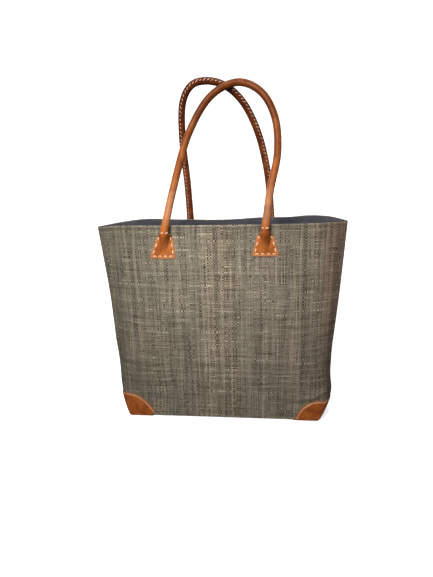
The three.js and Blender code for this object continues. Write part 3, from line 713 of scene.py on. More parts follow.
# %% Stations and rows of the cloth
# how far a seamed edge dips in, over which width of cloth, and half the slit that is left at the seam itself
SEAM_DIP, DIP_WIDTH, SEAM_SLIT = 1.0, 3.0, 0.01
# columns of points over the plain half of a wall, and the row nearest to the middle of the floor
SHEET_COLUMNS, LINING_COLUMNS, MIDDLE_OF_FLOOR = 60, 34, 43.8


def stations(total, fold, coarse):
    """Distances from the side seam, close together over the gusset's fold."""
    near = [np.linspace(0, 4, 6)[:-1], np.linspace(4, fold - 10, 8)[:-1], np.linspace(fold - 10, fold + 13, 22)[:-1]]
    return np.concatenate(near + [np.linspace(fold + 13, total, coarse)])


def wall_columns(side, z, coarse):
    """For one height: along and the flat distance from the middle, from the left seam to the right one."""
    halves = {}
    for hand, sign in HANDS.items():
        _, total = along_for(side, z, sign, 0.0)
        run = stations(total, bows(z)[side], coarse)
        along, _ = along_for(side, z, sign, run)
        halves[hand] = (sign * along, sign * (total - run), run)
    join = lambda k: np.concatenate([halves["left"][k], halves["right"][k][::-1][1:]])
    return join(0), join(1), join(2)


def cloth_grid(side, rows, coarse, dip=SEAM_DIP):
    """Points and flat pattern for rows of (inset, z); rows on the floor keep the columns of the fold."""
    points, flats = [], []
    seam_line = FLOOR + FOLD_RADIUS
    cache = {}
    bow_floor = bows(seam_line)[side]
    for inset, z in rows:
        level = max(z, seam_line)
        if level not in cache:
            cache[level] = wall_columns(side, level, coarse)
        along, from_middle, run = cache[level]
        limit = (1 - SEAM_SLIT / max(bow_floor - inset, 1.0)) ** (1 / fold_power(level))
        sunk = inset + dip * np.clip(1 - run / DIP_WIDTH, 0, 1) ** 2
        point = wall(side, z, np.clip(along, -limit, limit), sunk)
        points.append(point)
        on_floor = z < seam_line and inset > FOLD_RADIUS
        across, up = (point[:, 0], -inset) if on_floor else (from_middle, z)
        flats.append(np.stack([across, up + 0 * along], -1))
    return np.array(points), np.array(flats)


def quarter(inset, z, radius, turns):
    """(inset, z) round a fold with its middle at inset and z, from the lowest point to the outermost one."""
    return [(inset - radius * math.cos(a), z - radius * math.sin(a)) for a in np.linspace(math.pi / 2, 0, turns)]


def floor_rows(level, radius):
    """(inset, z) from the middle of the floor out and round the fold; radius is the layer's own."""
    flat_run = [(inset, level) for inset in np.linspace(MIDDLE_OF_FLOOR, FOLD_RADIUS + 1.5, 9)]
    return flat_run + quarter(FOLD_RADIUS, FLOOR + FOLD_RADIUS, radius, 5)


print("columns over a whole wall", len(wall_columns("front", BODY_HEIGHT, SHEET_COLUMNS)[0]))

# %% [markdown]
# ## The front and the back sheet
#
# Both sheets are cut and folded alike, and they are two pieces because the real ones meet at the side seams. The
# rows of points run from the middle of the floor out, round the fold, up the wall and over the rolled rim. The
# inner grid takes the same way on the cloth's other side, and below the rim it steps in by the hem's thickness.

# %% Make the two raffia sheets
def raffia_sheet(side):
    heights = np.unique(np.concatenate([np.linspace(6, 60, 14), np.linspace(60, 366, 62), [369, 370, 370.6, 372],
                                        np.linspace(375, 388.5, 8)]))
    outer = floor_rows(FLOOR, FOLD_RADIUS) + [(0.0, z) for z in heights]
    inner = floor_rows(FLOOR + CLOTH, FOLD_RADIUS - CLOTH)
    inner += [(CLOTH if z <= HEM_BOTTOM else HEM_DEPTH, z) for z in heights]
    for angle in np.radians([18, 36, 54, 72, 90]):
        lift = heights[-1] + CLOTH * math.sin(angle)
        outer.append((CLOTH - CLOTH * math.cos(angle), lift))
        inner.append((CLOTH + CLOTH * math.cos(angle), lift))
    face, flat = cloth_grid(side, outer, SHEET_COLUMNS)
    back, _ = cloth_grid(side, inner, SHEET_COLUMNS)
    sheet = slab(f"{side}_raffia_sheet", face, back, flat)
    dress(sheet, "bag", raffia, "raffia", f"{side}_panel")


for side in SIDES:
    raffia_sheet(side)

# %% [markdown]
# ## The lining
#
# A cotton bag hangs inside the raffia one. It is stitched in just under the rim and stands a little loose below,
# so its inner face gets its own soft wrinkles, which can only come inwards.

# %% Make the lining
LINING_INSET, LINING_FLOOR, LINING_TOP, LINING, LINING_FOLD = 3.3, 5.8, 389.0, 1.0, 2.4
LINING_DIP = 0.3


def lining_sheet(side):
    heights = np.unique(np.concatenate([np.linspace(10, 70, 10), np.linspace(70, 380, 52), [383.0, 386.0, 388.0]]))
    flat_run = [(inset, LINING_FLOOR) for inset in np.linspace(43.6, LINING_INSET + 4.0, 8)]
    fold_middle = (LINING_INSET + LINING_FOLD, LINING_FLOOR + LINING_FOLD)
    outer = flat_run + quarter(*fold_middle, LINING_FOLD, 4) + [(LINING_INSET, z) for z in heights]
    inner = [(inset, z + LINING) for inset, z in flat_run] + quarter(*fold_middle, LINING_FOLD - LINING, 4)
    inner += [(LINING_INSET + LINING, z) for z in heights]
    outer.append((LINING_INSET + 0.45, LINING_TOP))
    inner.append((LINING_INSET + 0.55, LINING_TOP))
    face, flat = cloth_grid(side, outer, LINING_COLUMNS, LINING_DIP)
    back, _ = cloth_grid(side, inner, LINING_COLUMNS, LINING_DIP)
    x, z = back[..., 0], back[..., 2]
    loose = smooth(z, 12, 60) * (1 - smooth(z, 340, 378)) * smooth(210 - np.abs(x), 0, 40)
    hang = np.sin(x / 11 + 1.5 * np.sin(z / 60)) + 0.7 * np.sin(x / 6.3 + z / 45)
    back[..., 1] -= SIDES[side] * loose * 0.55 * (1.7 + hang)
    sheet = slab(f"{side}_lining_sheet", face, back, flat)
    dress(sheet, "bag", cotton, "lining_cloth", f"{side}_lining")


for side in SIDES:
    lining_sheet(side)

# %% [markdown]
# ## The base board
#
# A stiff board lies between cloth and lining and keeps the base flat. It is a rigid plate that the engineering
# model already shows rightly, so it keeps its own mesh and only gets a better finish: pressed fibre with flecks.

# %% Base board material
pressed, t, surface = new_material("pressed_fibre_board")
place = add(t, "ShaderNodeTexCoord", _out=3)
flecks = noise_of(t, place, 380.0, 5.0, 0.7)
broad = noise_of(t, place, 30.0, 2.0)
board_color = ramp_of(t, flecks, (0.30, (0.14, 0.10, 0.06)), (0.5, (0.27, 0.205, 0.13)), (0.72, (0.38, 0.31, 0.21)))
board_color = mix_color(t, span(t, broad, 0.3, 0.7, 0.0, 0.25), board_color, (0.2, 0.15, 0.1, 1.0))
wire(t, surface, Base_Color=board_color, Roughness=0.92)
bumped(t, surface, flecks, 0.0002)
board = frame["nodes"]["base_board"]
board.data.materials.clear()
board.data.materials.append(pressed)
print(board.name, "now has the material", pressed.name)

# %% [markdown]
# ## Leather corners
#
# Before the base is boxed, each lower corner of the flat bag is covered by a round of leather, cut lower where it
# climbs to the side seam. Once the corner is folded, it lies over the wall, the gusset and the floor. The mesh is
# laid out in the same way, as rays from the flat corner: each runs down the wall and under the bag to the seam.
# The left and the right ones are cut a little differently by hand, fuller in one place and shorter in another.

# %% Rays of a leather corner
CORNER_RADIUS, CORNER_DROP, CORNER_LEATHER, GAP = 107.5, 27.0, 1.4, 0.3
HALF_BASE = BASE_DEPTH / 2
STEPS_FROM_EDGE = np.array([0.0, 0.12, 0.35, 0.7, 1.2, 1.8, 2.3, 2.6, 2.9, 3.2, 3.6, 4.3, 5.5, 7.5, 10.5, 15, 21])
# the stitches' groove: how far it lies from the edge and how deep it is; and what counts as far from any edge
CORNER_STITCH, GROOVE, FAR = 2.9, 0.30, 30.0
# for each corner, left and right: ray angles in degrees, then how much longer or shorter than the pattern a ray is
CORNER_CUT = {-1: ([28, 34, 42, 52, 64, 90], [5.5, 7.5, 9.6, 8.0, 4.6, 1.0]),
              1: ([28, 31, 36, 42, 52, 63, 90], [-5.0, -2.5, 2.5, 4.5, 1.5, -5.0, 0])}


def corner_reach(angle, sign):
    trim = np.interp(math.degrees(angle), *CORNER_CUT[sign])
    return CORNER_RADIUS + trim - CORNER_DROP * smooth(angle, math.radians(52), math.pi / 2)


def corner_point(side, sign, from_seam, z, inset):
    along, _ = along_for(side, max(z, FLOOR + FOLD_RADIUS), sign, max(from_seam, 0.25))
    return wall(side, z, sign * along, inset)


def corner_ray(side, sign, angle, start, end):
    """One ray: points on the wall from the edge down, round the fold, then under the floor; and edge distances."""
    fold_z = FLOOR + FOLD_RADIUS
    reach = corner_reach(angle, sign) - (fold_z + HALF_BASE) / math.sin(angle)
    steps = STEPS_FROM_EDGE * min(1.0, reach / 30)
    steps = np.concatenate([steps, np.linspace(steps[-1] + 0.02 * reach, reach, 14)])
    face, back, edge = [], [], []
    for step in steps:
        radius = corner_reach(angle, sign) - step
        z, from_seam = radius * math.sin(angle) - HALF_BASE, radius * math.cos(angle)
        thick = CORNER_LEATHER * (0.55 + 0.45 * min(1.0, step / 0.7) ** 0.5)
        thick -= GROOVE * math.exp(-(((step - CORNER_STITCH) / 0.55) ** 2)) * min(1.0, reach / 12)
        face.append(corner_point(side, sign, from_seam, z, -GAP - thick))
        back.append(corner_point(side, sign, from_seam, z, -GAP))
        edge.append(step)
    foot_seam = ((fold_z + HALF_BASE) / math.sin(angle)) * math.cos(angle)
    for turn_angle in np.linspace(0, math.pi / 2, 5)[1:]:
        for points, radius in ((face, FOLD_RADIUS + GAP + CORNER_LEATHER), (back, FOLD_RADIUS + GAP)):
            inset, z = FOLD_RADIUS - radius * math.cos(turn_angle), fold_z - radius * math.sin(turn_angle)
            points.append(corner_point(side, sign, foot_seam, z, inset))
        edge.append(reach + 2.0)
    half = layer_half_width(side, 0.0, sign, 0.0)[0]
    centre = np.array([sign * (half + HALF_BASE), 0.0])
    begin = face[-1][:2] - centre
    turn_from = math.atan2(abs(begin[1]), abs(begin[0]))
    share = (angle - start) / (end - start)
    last = CORNER_RADIUS + (HALF_BASE + 3.0 - CORNER_RADIUS) * share
    for part in np.linspace(0, 1, 9)[1:]:
        radius = np.hypot(*begin) * (1 - part) + last * part
        swing = turn_from * (1 - part) + 0.25 / radius * part
        x, y = centre[0] - sign * radius * math.cos(swing), SIDES[side] * radius * math.sin(swing)
        face.append(np.array([x, y, 0.0]))
        back.append(np.array([x, y, CORNER_LEATHER]))
        edge.append(min(CORNER_RADIUS - radius, FAR) if share < 0.5 else FAR)
    return np.array(face), np.array(back), np.array(edge)


print("a corner reaches", CORNER_RADIUS, "mm round, and", CORNER_RADIUS - CORNER_DROP, "mm at the side seam")

# %% [markdown]
# ## Rays become a corner
#
# The rays are set side by side over a quarter turn, closer together where the leather bends round the gusset's
# fold. Their outer and inner points make a thin closed body with a rounded edge.

# %% Make the leather corners
def corner_leather(side, hand):
    sign = HANDS[hand]
    start = math.asin((FLOOR + FOLD_RADIUS + HALF_BASE + 1.6) / (CORNER_RADIUS - 5))
    end = math.pi / 2
    # close rays over the gusset's fold, where the leather bends
    angles = np.concatenate([np.linspace(start, 0.95, 18)[:-1], np.linspace(0.95, 1.25, 30)[:-1],
                             np.linspace(1.25, end, 14)])
    rays = [corner_ray(side, sign, angle, start, end) for angle in angles]
    face, back, edge = (np.array([ray[k] for ray in rays]) for k in range(3))
    piece = slab(f"{side}_{hand}_corner_leather", face, back, marks={"from_edge": np.maximum(edge, 0)})
    dress(piece, "bag", corner_brown, "worn_leather", f"{side}_{hand}_corner")


for side in SIDES:
    for hand in HANDS:
        corner_leather(side, hand)

# %% [markdown]
# ## Patches behind the tabs
#
# The pull of the loops is taken up by a second piece of leather on the inside of the raffia, behind each tab.
# It is hidden by the lining, but it is a real piece, so it gets a rounded outline and a flesh-side finish.

# %% Make the inner patches
TAB_FEET = {
    ("front", "left"): (-93.5, 7.7), ("front", "right"): (84.5, -1.0),
    ("back", "left"): (-63.5, 2.0), ("back", "right"): (97.5, 3.0),
}
TAB_BOTTOM, TAB_TALL = 332.0, 47.0


def inner_patch(side, hand):
    foot, lean = TAB_FEET[side, hand]
    tall, half, radius, thick = 37.7, 26.0, 7.0, 0.9
    levels = np.concatenate([radius * (1 - np.cos(np.linspace(0, math.pi / 2, 7))),
                             np.linspace(radius, tall / 2, 4)[1:]])
    levels = np.concatenate([levels, tall - levels[::-1][1:]])
    across_steps = np.sin(np.linspace(-math.pi / 2, math.pi / 2, 25))
    face, back = [], []
    for v in levels:
        drop = max(0.0, radius - min(v, tall - v))
        width = half - radius + math.sqrt(radius**2 - drop**2)
        x = foot - lean * (1 - v / tall) + width * across_steps
        puff = 0.25 * (1 - np.abs(across_steps) ** 6) * min(1.0, min(v, tall - v) / 1.5)
        face.append(wall_at(side, x, TAB_BOTTOM + v, CLOTH + 0.45))
        back.append(wall_at(side, x, TAB_BOTTOM + v, CLOTH + 0.45 + thick - 0.25 + puff))
    edge = np.full((len(levels), len(across_steps)), FAR)
    piece = slab(f"{side}_{hand}_backing_patch", np.array(face), np.array(back), marks={"from_edge": edge})
    dress(piece, "bag", suede, "flesh_leather", f"{side}_{hand}_inner_patch")


for foot_of in TAB_FEET:
    inner_patch(*foot_of)

# %% [markdown]
# ## The tabs
#
# A rolled loop opens out at its foot into a wide flat tab. Its outline is wide at the bottom, has two shoulders and
# is drawn in to a neck. The tab leans with the loop's foot, and its bottom edge isn't sewn on quite level.

# %% Outline of a tab
NECK_CUT, HINGE_Z = 47.0, 381.0
TAB_WIDTH, TAB_SHOULDER, SHOULDER_AT, TAB_ROUND = 49.5, 29.8, 37.0, 5.5
NECK_WIDTH, NECK_DEPTH = 7.3, 6.8
RING = 96
RING_ANGLES = 2 * math.pi * np.arange(RING) / RING
HINGES = {joint["child"]: joint for joint in frame["record"]["behaviour"]["joints"]}
HINGE_Y = {side: 1000 * HINGES[f"{side}_handle"]["pos_m"][1] for side in SIDES}
# how far a tab's back stands off the cloth, where its stitches run, and the roll that goes down into it
STAND_OFF, STITCH_INSET, ROLL_RADIUS = 0.45, 4.2, 7.4
# the front left tab has a fold beside its roll: how deep it is, and how far aside at two heights
FOLD_DEPTH, FOLD_COURSE = 1.6, ([22, 44], [2.6, 6.8])
# how much lower or higher than the pattern's line a tab's bottom edge is sewn on
TAB_FALL = {("front", "left"): -2.2, ("front", "right"): 1.4, ("back", "left"): 0.0, ("back", "right"): 0.0}


def tab_half_width(v):
    v = np.asarray(v, float)
    sides = (TAB_WIDTH + (TAB_SHOULDER - TAB_WIDTH) * np.clip(v / SHOULDER_AT, 0, 1)) / 2
    drop = np.maximum(0, TAB_ROUND - v)
    drawn = smooth(v, SHOULDER_AT - 1, NECK_CUT + 0.5) * (TAB_SHOULDER / 2 - NECK_WIDTH)
    return sides - (TAB_ROUND - np.sqrt(TAB_ROUND**2 - drop**2)) - drawn


def tab_centre(side, hand, v):
    foot, lean = TAB_FEET[side, hand]
    return foot - lean * (1 - np.asarray(v, float) / TAB_TALL)


def tab_z(side, hand, v):
    return TAB_BOTTOM + v + TAB_FALL[side, hand] * (1 - np.asarray(v, float) / TAB_TALL)


def roll_centre(side, hand, z):
    """How far the roll's middle stands off the tab's back, below the hinge line."""
    foot, _ = TAB_FEET[side, hand]
    at_hinge = abs(HINGE_Y[side] - wall_at(side, foot, HINGE_Z, -STAND_OFF)[1])
    return -5.5 + (at_hinge + 5.5) * smooth(z, 338, 379)


OUTLINE_V = np.concatenate([np.linspace(0, 6, 30), np.linspace(6, NECK_CUT, 60)])


def from_outline(x, v):
    """Distance from the tab's edge; the neck's open end doesn't count as an edge."""
    half = tab_half_width(OUTLINE_V)
    bottom = np.linspace(-half[0], half[0], 30)
    outline_x = np.concatenate([half, -half, bottom])
    outline_v = np.concatenate([OUTLINE_V, OUTLINE_V, 0 * bottom])
    away = np.hypot(x[..., None] - outline_x, v[..., None] - outline_v)
    return away.min(axis=-1)


print("a tab is", TAB_WIDTH, "mm wide and", NECK_CUT, "mm tall")

# %% [markdown]
# ## Leather of a tab
#
# The mesh is a stack of closed rings: wide and flat at the bottom, round as the loop at the top. The roll runs on
# down the tab as a bulge that sinks away, the stitches pull a groove, and the margin outside them is pressed thin
# and paler, partly worn and partly a painted highlight. Rings were chosen because they turn from a plate into a tube
# without any seam.

# %% Make the tabs
# the plate: how thick it is at its edge, what it gains twice further in, and the groove that the stitches pull
EDGE_THICK, GAIN, STITCH_GROOVE = 0.7, 0.75, 0.45


def tab_rings(side, hand):
    levels = np.concatenate([[0.0, 0.25, 0.6, 1.0, 1.5, 2.1, 2.7, 3.3, 3.8, 4.2, 4.6, 5.0, 5.5, 6.2, 7.0],
                             np.linspace(8, NECK_CUT, 44)])
    rings, marks = [], []
    lower = np.sin(RING_ANGLES) < 0
    folded = FOLD_DEPTH if (side, hand) == ("front", "left") else 0.0
    for v in levels:
        half = tab_half_width(v)
        a = half * np.cos(RING_ANGLES)
        edge = from_outline(a, np.full(RING, v))
        plate = EDGE_THICK + GAIN * smooth(edge, 0, 1.0)
        plate += GAIN * smooth(edge, STITCH_INSET - 0.3, STITCH_INSET + 2.2)
        plate -= STITCH_GROOVE * np.exp(-(((edge - STITCH_INSET) / 0.8) ** 2))
        centre = roll_centre(side, hand, TAB_BOTTOM + v)
        bulge = centre + ROLL_RADIUS * np.sqrt(np.clip(1 - (a / ROLL_RADIUS) ** 2, 0, 1))
        bulge -= 2.4 * np.maximum(0, np.abs(a) - ROLL_RADIUS)
        face = 0.5 * (plate + bulge + np.sqrt((plate - bulge) ** 2 + 1.8**2)) - 0.25 * (bulge > -2)
        face = np.where(bulge < plate - 3, plate, face)
        aside = np.exp(-(((a - np.interp(v, *FOLD_COURSE)) / 0.9) ** 2))
        face = face - folded * aside * smooth(v, 20, 29) * (1 - smooth(v, 42, 47))
        depth = np.where(lower, face, 0.0)
        rounded = centre - NECK_DEPTH * np.sin(RING_ANGLES)
        share = smooth(v, 37.0, NECK_CUT)
        depth = depth * (1 - share) + rounded * share
        x = tab_centre(side, hand, v) + a
        ground = wall_at(side, x, tab_z(side, hand, v), -STAND_OFF)
        ground[:, 1] += SIDES[side] * depth
        rings.append(ground)
        marks.append(np.where(lower, edge + FAR * smooth(v, 36, 44), 0.6) * (1 - share) + FAR * share)
    return np.array(rings), np.array(marks)


def ring_piece(name, rings, marks):
    """A closed body through rings of points, with both ends capped."""
    rows, columns = rings.shape[:2]
    faces = list(grid_quads(rows, columns, closed=True))
    for row in (0, rows - 1):
        for k in range(columns // 2 - 1):
            a, b = row * columns + k, row * columns + columns - 1 - k
            quad = [a, a + 1, b - 1, b]
            faces.append(quad if row == 0 else quad[::-1])
    return new_piece(name, rings.reshape(-1, 3), faces, marks=marks)


tab_tops = {}
for side, hand in TAB_FEET:
    rings, marks = tab_rings(side, hand)
    tab_tops[side, hand] = rings[-1]
    tab = ring_piece(f"{side}_{hand}_tab_leather", rings, {"from_edge": marks})
    dress(tab, "bag", tan if side == "front" else painted_shade_tan, "tan_leather", f"{side}_{hand}_tab")

# %% [markdown]
# ## The carrying loops
#
# Both loops stand up from their tabs and lean together over the bag's mouth. Each course is a smooth curve through a
# few points in a leaning plane, as a springy roll takes it, with a short straight foot inside each tab's neck.

# %% Course of a loop
# shares of the way from the left foot to the right one, and of the rise
LOOP_COURSES = {
    "front": [(0, 0), (0.1, 0.3), (0.27, 0.69), (0.49, 0.925), (0.74, 1), (0.95, 0.935), (1.085, 0.77),
              (1.117, 0.53), (1.045, 0.26), (1, 0)],
    "back": [(0, 0), (-0.004, 0.3), (-0.026, 0.66), (0.014, 0.885), (0.12, 0.98), (0.28, 1), (0.47, 0.97),
             (0.66, 0.87), (0.83, 0.67), (0.95, 0.37), (1, 0)],
}
LOOP_RISE = {"front": 251.2, "back": 257.4}
# how far the crown stays from the bag's middle plane, and the distance between two rings of a tube
CROWN_OFFSET, STEP = 7.95, 1.6


def through(points):
    """A centripetal Catmull-Rom curve through the points."""
    points = np.array(points, float)
    points = np.concatenate([[2 * points[0] - points[1]], points, [2 * points[-1] - points[-2]]])
    out = []
    for k in range(1, len(points) - 2):
        p = points[k - 1:k + 3]
        d = [np.linalg.norm(p[i + 1] - p[i]) ** 0.5 for i in range(3)]
        start = ((p[1] - p[0]) / d[0] - (p[2] - p[0]) / (d[0] + d[1]) + (p[2] - p[1]) / d[1]) * d[1]
        stop = ((p[2] - p[1]) / d[1] - (p[3] - p[1]) / (d[1] + d[2]) + (p[3] - p[2]) / d[2]) * d[1]
        for s in np.linspace(0, 1, 60, endpoint=False):
            out.append(p[1] + start * s + (-3 * p[1] + 3 * p[2] - 2 * start - stop) * s**2
                       + (2 * p[1] - 2 * p[2] + start + stop) * s**3)
    return np.array(out + [points[-2]])


def evenly(path, step):
    run = np.concatenate([[0], np.cumsum(np.linalg.norm(np.diff(path, axis=0), axis=1))])
    marks = np.linspace(0, run[-1], int(round(run[-1] / step)) + 1)
    return np.stack([np.interp(marks, run, path[:, k]) for k in range(3)], -1)


def loop_path(side):
    feet = [TAB_FEET[side, hand][0] for hand in HANDS]
    flat = through([(feet[0] + (feet[1] - feet[0]) * a, LOOP_RISE[side] * b) for a, b in LOOP_COURSES[side]])
    lean = math.asin((abs(HINGE_Y[side]) - CROWN_OFFSET) / LOOP_RISE[side])
    loop = np.stack([flat[:, 0], HINGE_Y[side] - SIDES[side] * flat[:, 1] * math.sin(lean),
                     HINGE_Z + flat[:, 1] * math.cos(lean)], -1)
    ends = []
    for hand in HANDS:
        z = np.linspace(TAB_BOTTOM + NECK_CUT, HINGE_Z, 9)[:-1]
        x = tab_centre(side, hand, z - TAB_BOTTOM)
        y = wall_at(side, x, z, -STAND_OFF)[:, 1] + SIDES[side] * np.array([roll_centre(side, hand, v) for v in z])
        ends.append(np.stack([x, y, z], -1))
    path = evenly(np.concatenate([ends[0], loop, ends[1][::-1]]), STEP)
    for _ in range(24):
        path[1:-1] = path[1:-1] * 0.5 + 0.25 * (path[:-2] + path[2:])
    return path


def unit(vectors):
    return vectors / np.linalg.norm(vectors, axis=-1, keepdims=True)


def loop_frames(side, path):
    """At each step: along, sideways and inward directions; the rings turn level towards the tabs."""
    along = unit(np.gradient(path, axis=0))
    run = np.arange(len(path)) * STEP
    to_end = np.minimum(run, run[-1] - run)
    upright = np.where(run[:, None] < run[-1] / 2, (0, 0, 1.0), (0, 0, -1.0))
    share = smooth(to_end, 0, 14)[:, None]
    along = unit(upright * (1 - share) + along * share)
    inward = np.array([0.0, -SIDES[side], 0.0]) + 0 * along
    inward = unit(inward - along * (inward * along).sum(-1, keepdims=True))
    return along, np.cross(along, inward), inward, to_end


loop_paths = {side: loop_path(side) for side in SIDES}
for side, path in loop_paths.items():
    print(side, "loop", round(STEP * (len(path) - 1)), "mm long, up to", path[:, 2].max().round(1), "mm")

# %% [markdown]
# ## Rolled leather
#
# Each loop is a strip of leather rolled round a cord and whipped shut along the side that faces the bag. The tube is
# thicker at its feet, where it grows out of the tab's ring, and its two lips stand up along the seam with a groove
# between them. The seam is turned a few degrees outward and wanders on the rear loop, as a roll sewn by hand does.

# %% Make the rolled loops
# half width and half depth of the tube: its own, what the lower half gains and what the feet gain
TUBE_SIZES = ((6.3, 0.40, 0.6), (6.25, 0.35, 0.20))
# the seam's two lips and the groove between them: how high or deep, and their angles
LIP, LIP_AT, LIP_WIDTH, SEAM_GROOVE, GROOVE_WIDTH = 0.42, 0.16, 0.11, 0.55, 0.06
# The seam faces the bag, turned a little towards the outside of the loop: shares of the run, then degrees
SEAM_TURN = {"front": ([0, 1], [4, 4]), "back": ([0, 0.30, 0.42, 0.60, 1], [13, 13, 4, 22, 26])}


def loop_surface(side, path, around, raised=0.0):
    """Rings of the tube; around is the angle from the seam."""
    turn = np.radians(np.interp(np.linspace(0, 1, len(path)), *SEAM_TURN[side]))
    angles = math.pi / 2 + SIDES[side] * turn[:, None] + around[None, :]
    _, sideways, inward, to_end = loop_frames(side, path)
    low, foot = 1 - smooth(to_end, 20, 230), 1 - smooth(to_end, 0, 45)
    wide, deep = (own + at_low * low + at_foot * foot for own, at_low, at_foot in TUBE_SIZES)
    from_seam = (around + math.pi) % (2 * math.pi) - math.pi
    lips = LIP * np.exp(-(((np.abs(from_seam) - LIP_AT) / LIP_WIDTH) ** 2))
    lips -= SEAM_GROOVE * np.exp(-((from_seam / GROOVE_WIDTH) ** 2))
    lips = lips[None, :] * smooth(to_end, 8, 30)[:, None] + raised
    a = (wide[:, None] + lips) * np.cos(angles)
    b = (deep[:, None] + lips) * np.sin(angles)
    return path[:, None] + a[..., None] * sideways[:, None] + b[..., None] * inward[:, None]


def loop_leather(side):
    path = loop_paths[side]
    spread = RING_ANGLES - 0.35 * np.sin(2 * RING_ANGLES) * (np.cos(RING_ANGLES) > 0)
    rings = loop_surface(side, path, spread)
    # the sideways direction follows the path's sense of travel, so compare it with the tab's own ring
    for end, hand in ((0, "left"), (-1, "right")):
        top = tab_tops[side, hand]
        ring = rings[end]
        nearest = np.array([top[np.linalg.norm(top - point, axis=1).argmin()] for point in ring])
        shift = nearest - ring
        run = np.arange(len(path)) * STEP
        run = run if end == 0 else run[::-1]
        rings = rings + shift[None] * (1 - smooth(run, 0, 10))[:, None, None]
    loop_rings[side] = rings
    piece = ring_piece(f"{side}_loop_leather", rings, {"from_edge": np.full(rings.shape[:2], FAR)})
    dress(piece, None, tan if side == "front" else painted_shade_tan, "tan_leather", f"{side}_handle_sleeve")
    bend_with_loop(piece)


def bend_with_loop(piece):
    """Applies the piece's placement to its mesh."""
    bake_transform(piece)


loop_rings = {}
for side in SIDES:
    loop_leather(side)

# %% [markdown]
# ## The cords inside the loops
#
# A rolled handle keeps its round shape because it is rolled over a cord. Three twisted strands are swept along
# the same course. They can't be seen, but whoever cuts the model open finds a real piece there.

# %% Make the twisted cords
# the cord ends short of the tabs; its strands lie on a circle and turn once round in three lays
CORD_END, STRANDS, STRAND_RADIUS, STRAND_CIRCLE, LAY, STRAND_SIDES = 24.0, 3, 2.25, 2.5, 17.0, 10


def twisted_cord(side):
    path = loop_paths[side]
    skip = int(round(CORD_END / STEP))
    inner = path[skip:-skip:2]
    _, sideways, inward, _ = loop_frames(side, path)
    sideways, inward = sideways[skip:-skip:2], inward[skip:-skip:2]
    run = np.arange(len(inner)) * 2 * STEP
    points, faces = [], []
    ring = 2 * math.pi * np.arange(STRAND_SIDES) / STRAND_SIDES
    for strand in range(STRANDS):
        turn = 2 * math.pi * (run / (LAY * 3) + strand / STRANDS)
        middle = inner + STRAND_CIRCLE * (np.cos(turn)[:, None] * sideways + np.sin(turn)[:, None] * inward)
        rings = middle[:, None] + STRAND_RADIUS * (np.cos(ring)[None, :, None] * sideways[:, None]
                                                   + np.sin(ring)[None, :, None] * inward[:, None])
        points.append(rings.reshape(-1, 3))
        first = strand * len(inner) * STRAND_SIDES + np.arange(STRAND_SIDES)
        last = first + (len(inner) - 1) * STRAND_SIDES
        faces += (grid_quads(len(inner), STRAND_SIDES, closed=True) + first[0]).tolist() + [first[::-1], last]
    cord = new_piece(f"{side}_twisted_cord", np.concatenate(points), faces)
    dress(cord, f"{side}_handle", cord_cotton, "cord_core", f"{side}_handle_core")


for side in SIDES:
    twisted_cord(side)

# %% [markdown]
# ## One tree for every row of stitches
#
# A row of stitches is the same thing everywhere: a path, a spacing, a short plump thread on every mark. A
# Geometry Nodes tree makes it from a line of points that carries the surface's outward direction. The stitch is a
# sphere drawn out into a grain and bent so that its ends dive into the leather. It is set along the path, or at a
# slant for whip stitches, and no two lie quite alike.

# %% Build the stitch tree
GEOMETRY, INTEGER = "NodeSocketGeometry", "NodeSocketInt"
sewn_row, given, result = new_group(
    "sewn_row",
    [("Path", GEOMETRY, None), ("Count", INTEGER, 10), ("Length", FLOAT, 0.006), ("Radius", FLOAT, 0.0006),
     ("Slant", FLOAT, 0.0), ("Dive", FLOAT, 0.5), ("Jitter", FLOAT, 0.08), ("Seed", INTEGER, 1),
     ("Thread", "NodeSocketMaterial", None)],
    [("Stitches", GEOMETRY)],
    "GeometryNodeTree",
)
g = sewn_row
line = add(g, "GeometryNodeMeshToCurve", given["Path"])
even = node(g, "GeometryNodeResampleCurve", Curve=line, Count=given["Count"])
# one stitch: a ball on its side, blunt along x, its ends diving
ball = node(g, "GeometryNodeMeshUVSphere", Segments=8, Rings=7, Radius=1.0)
lying = node(g, "GeometryNodeTransform", Geometry=ball["Mesh"], Rotation=(0, math.pi / 2, 0))
parts = axes_of(g, add(g, "GeometryNodeInputPosition"))
blunt = math_of(g, "MULTIPLY", math_of(g, "SIGN", parts["X"]),
                math_of(g, "POWER", math_of(g, "ABSOLUTE", parts["X"]), 0.8))
drop = math_of(g, "MULTIPLY", math_of(g, "POWER", parts["X"], 2.0), given["Dive"])
shape = add(g, "ShaderNodeCombineXYZ", math_of(g, "MULTIPLY", blunt, math_of(g, "MULTIPLY", given["Length"], 0.5)),
            math_of(g, "MULTIPLY", parts["Y"], given["Radius"]),
            math_of(g, "MULTIPLY", math_of(g, "SUBTRACT", parts["Z"], drop), given["Radius"]))
stitch = node(g, "GeometryNodeSetPosition", Geometry=lying["Geometry"], Position=shape)
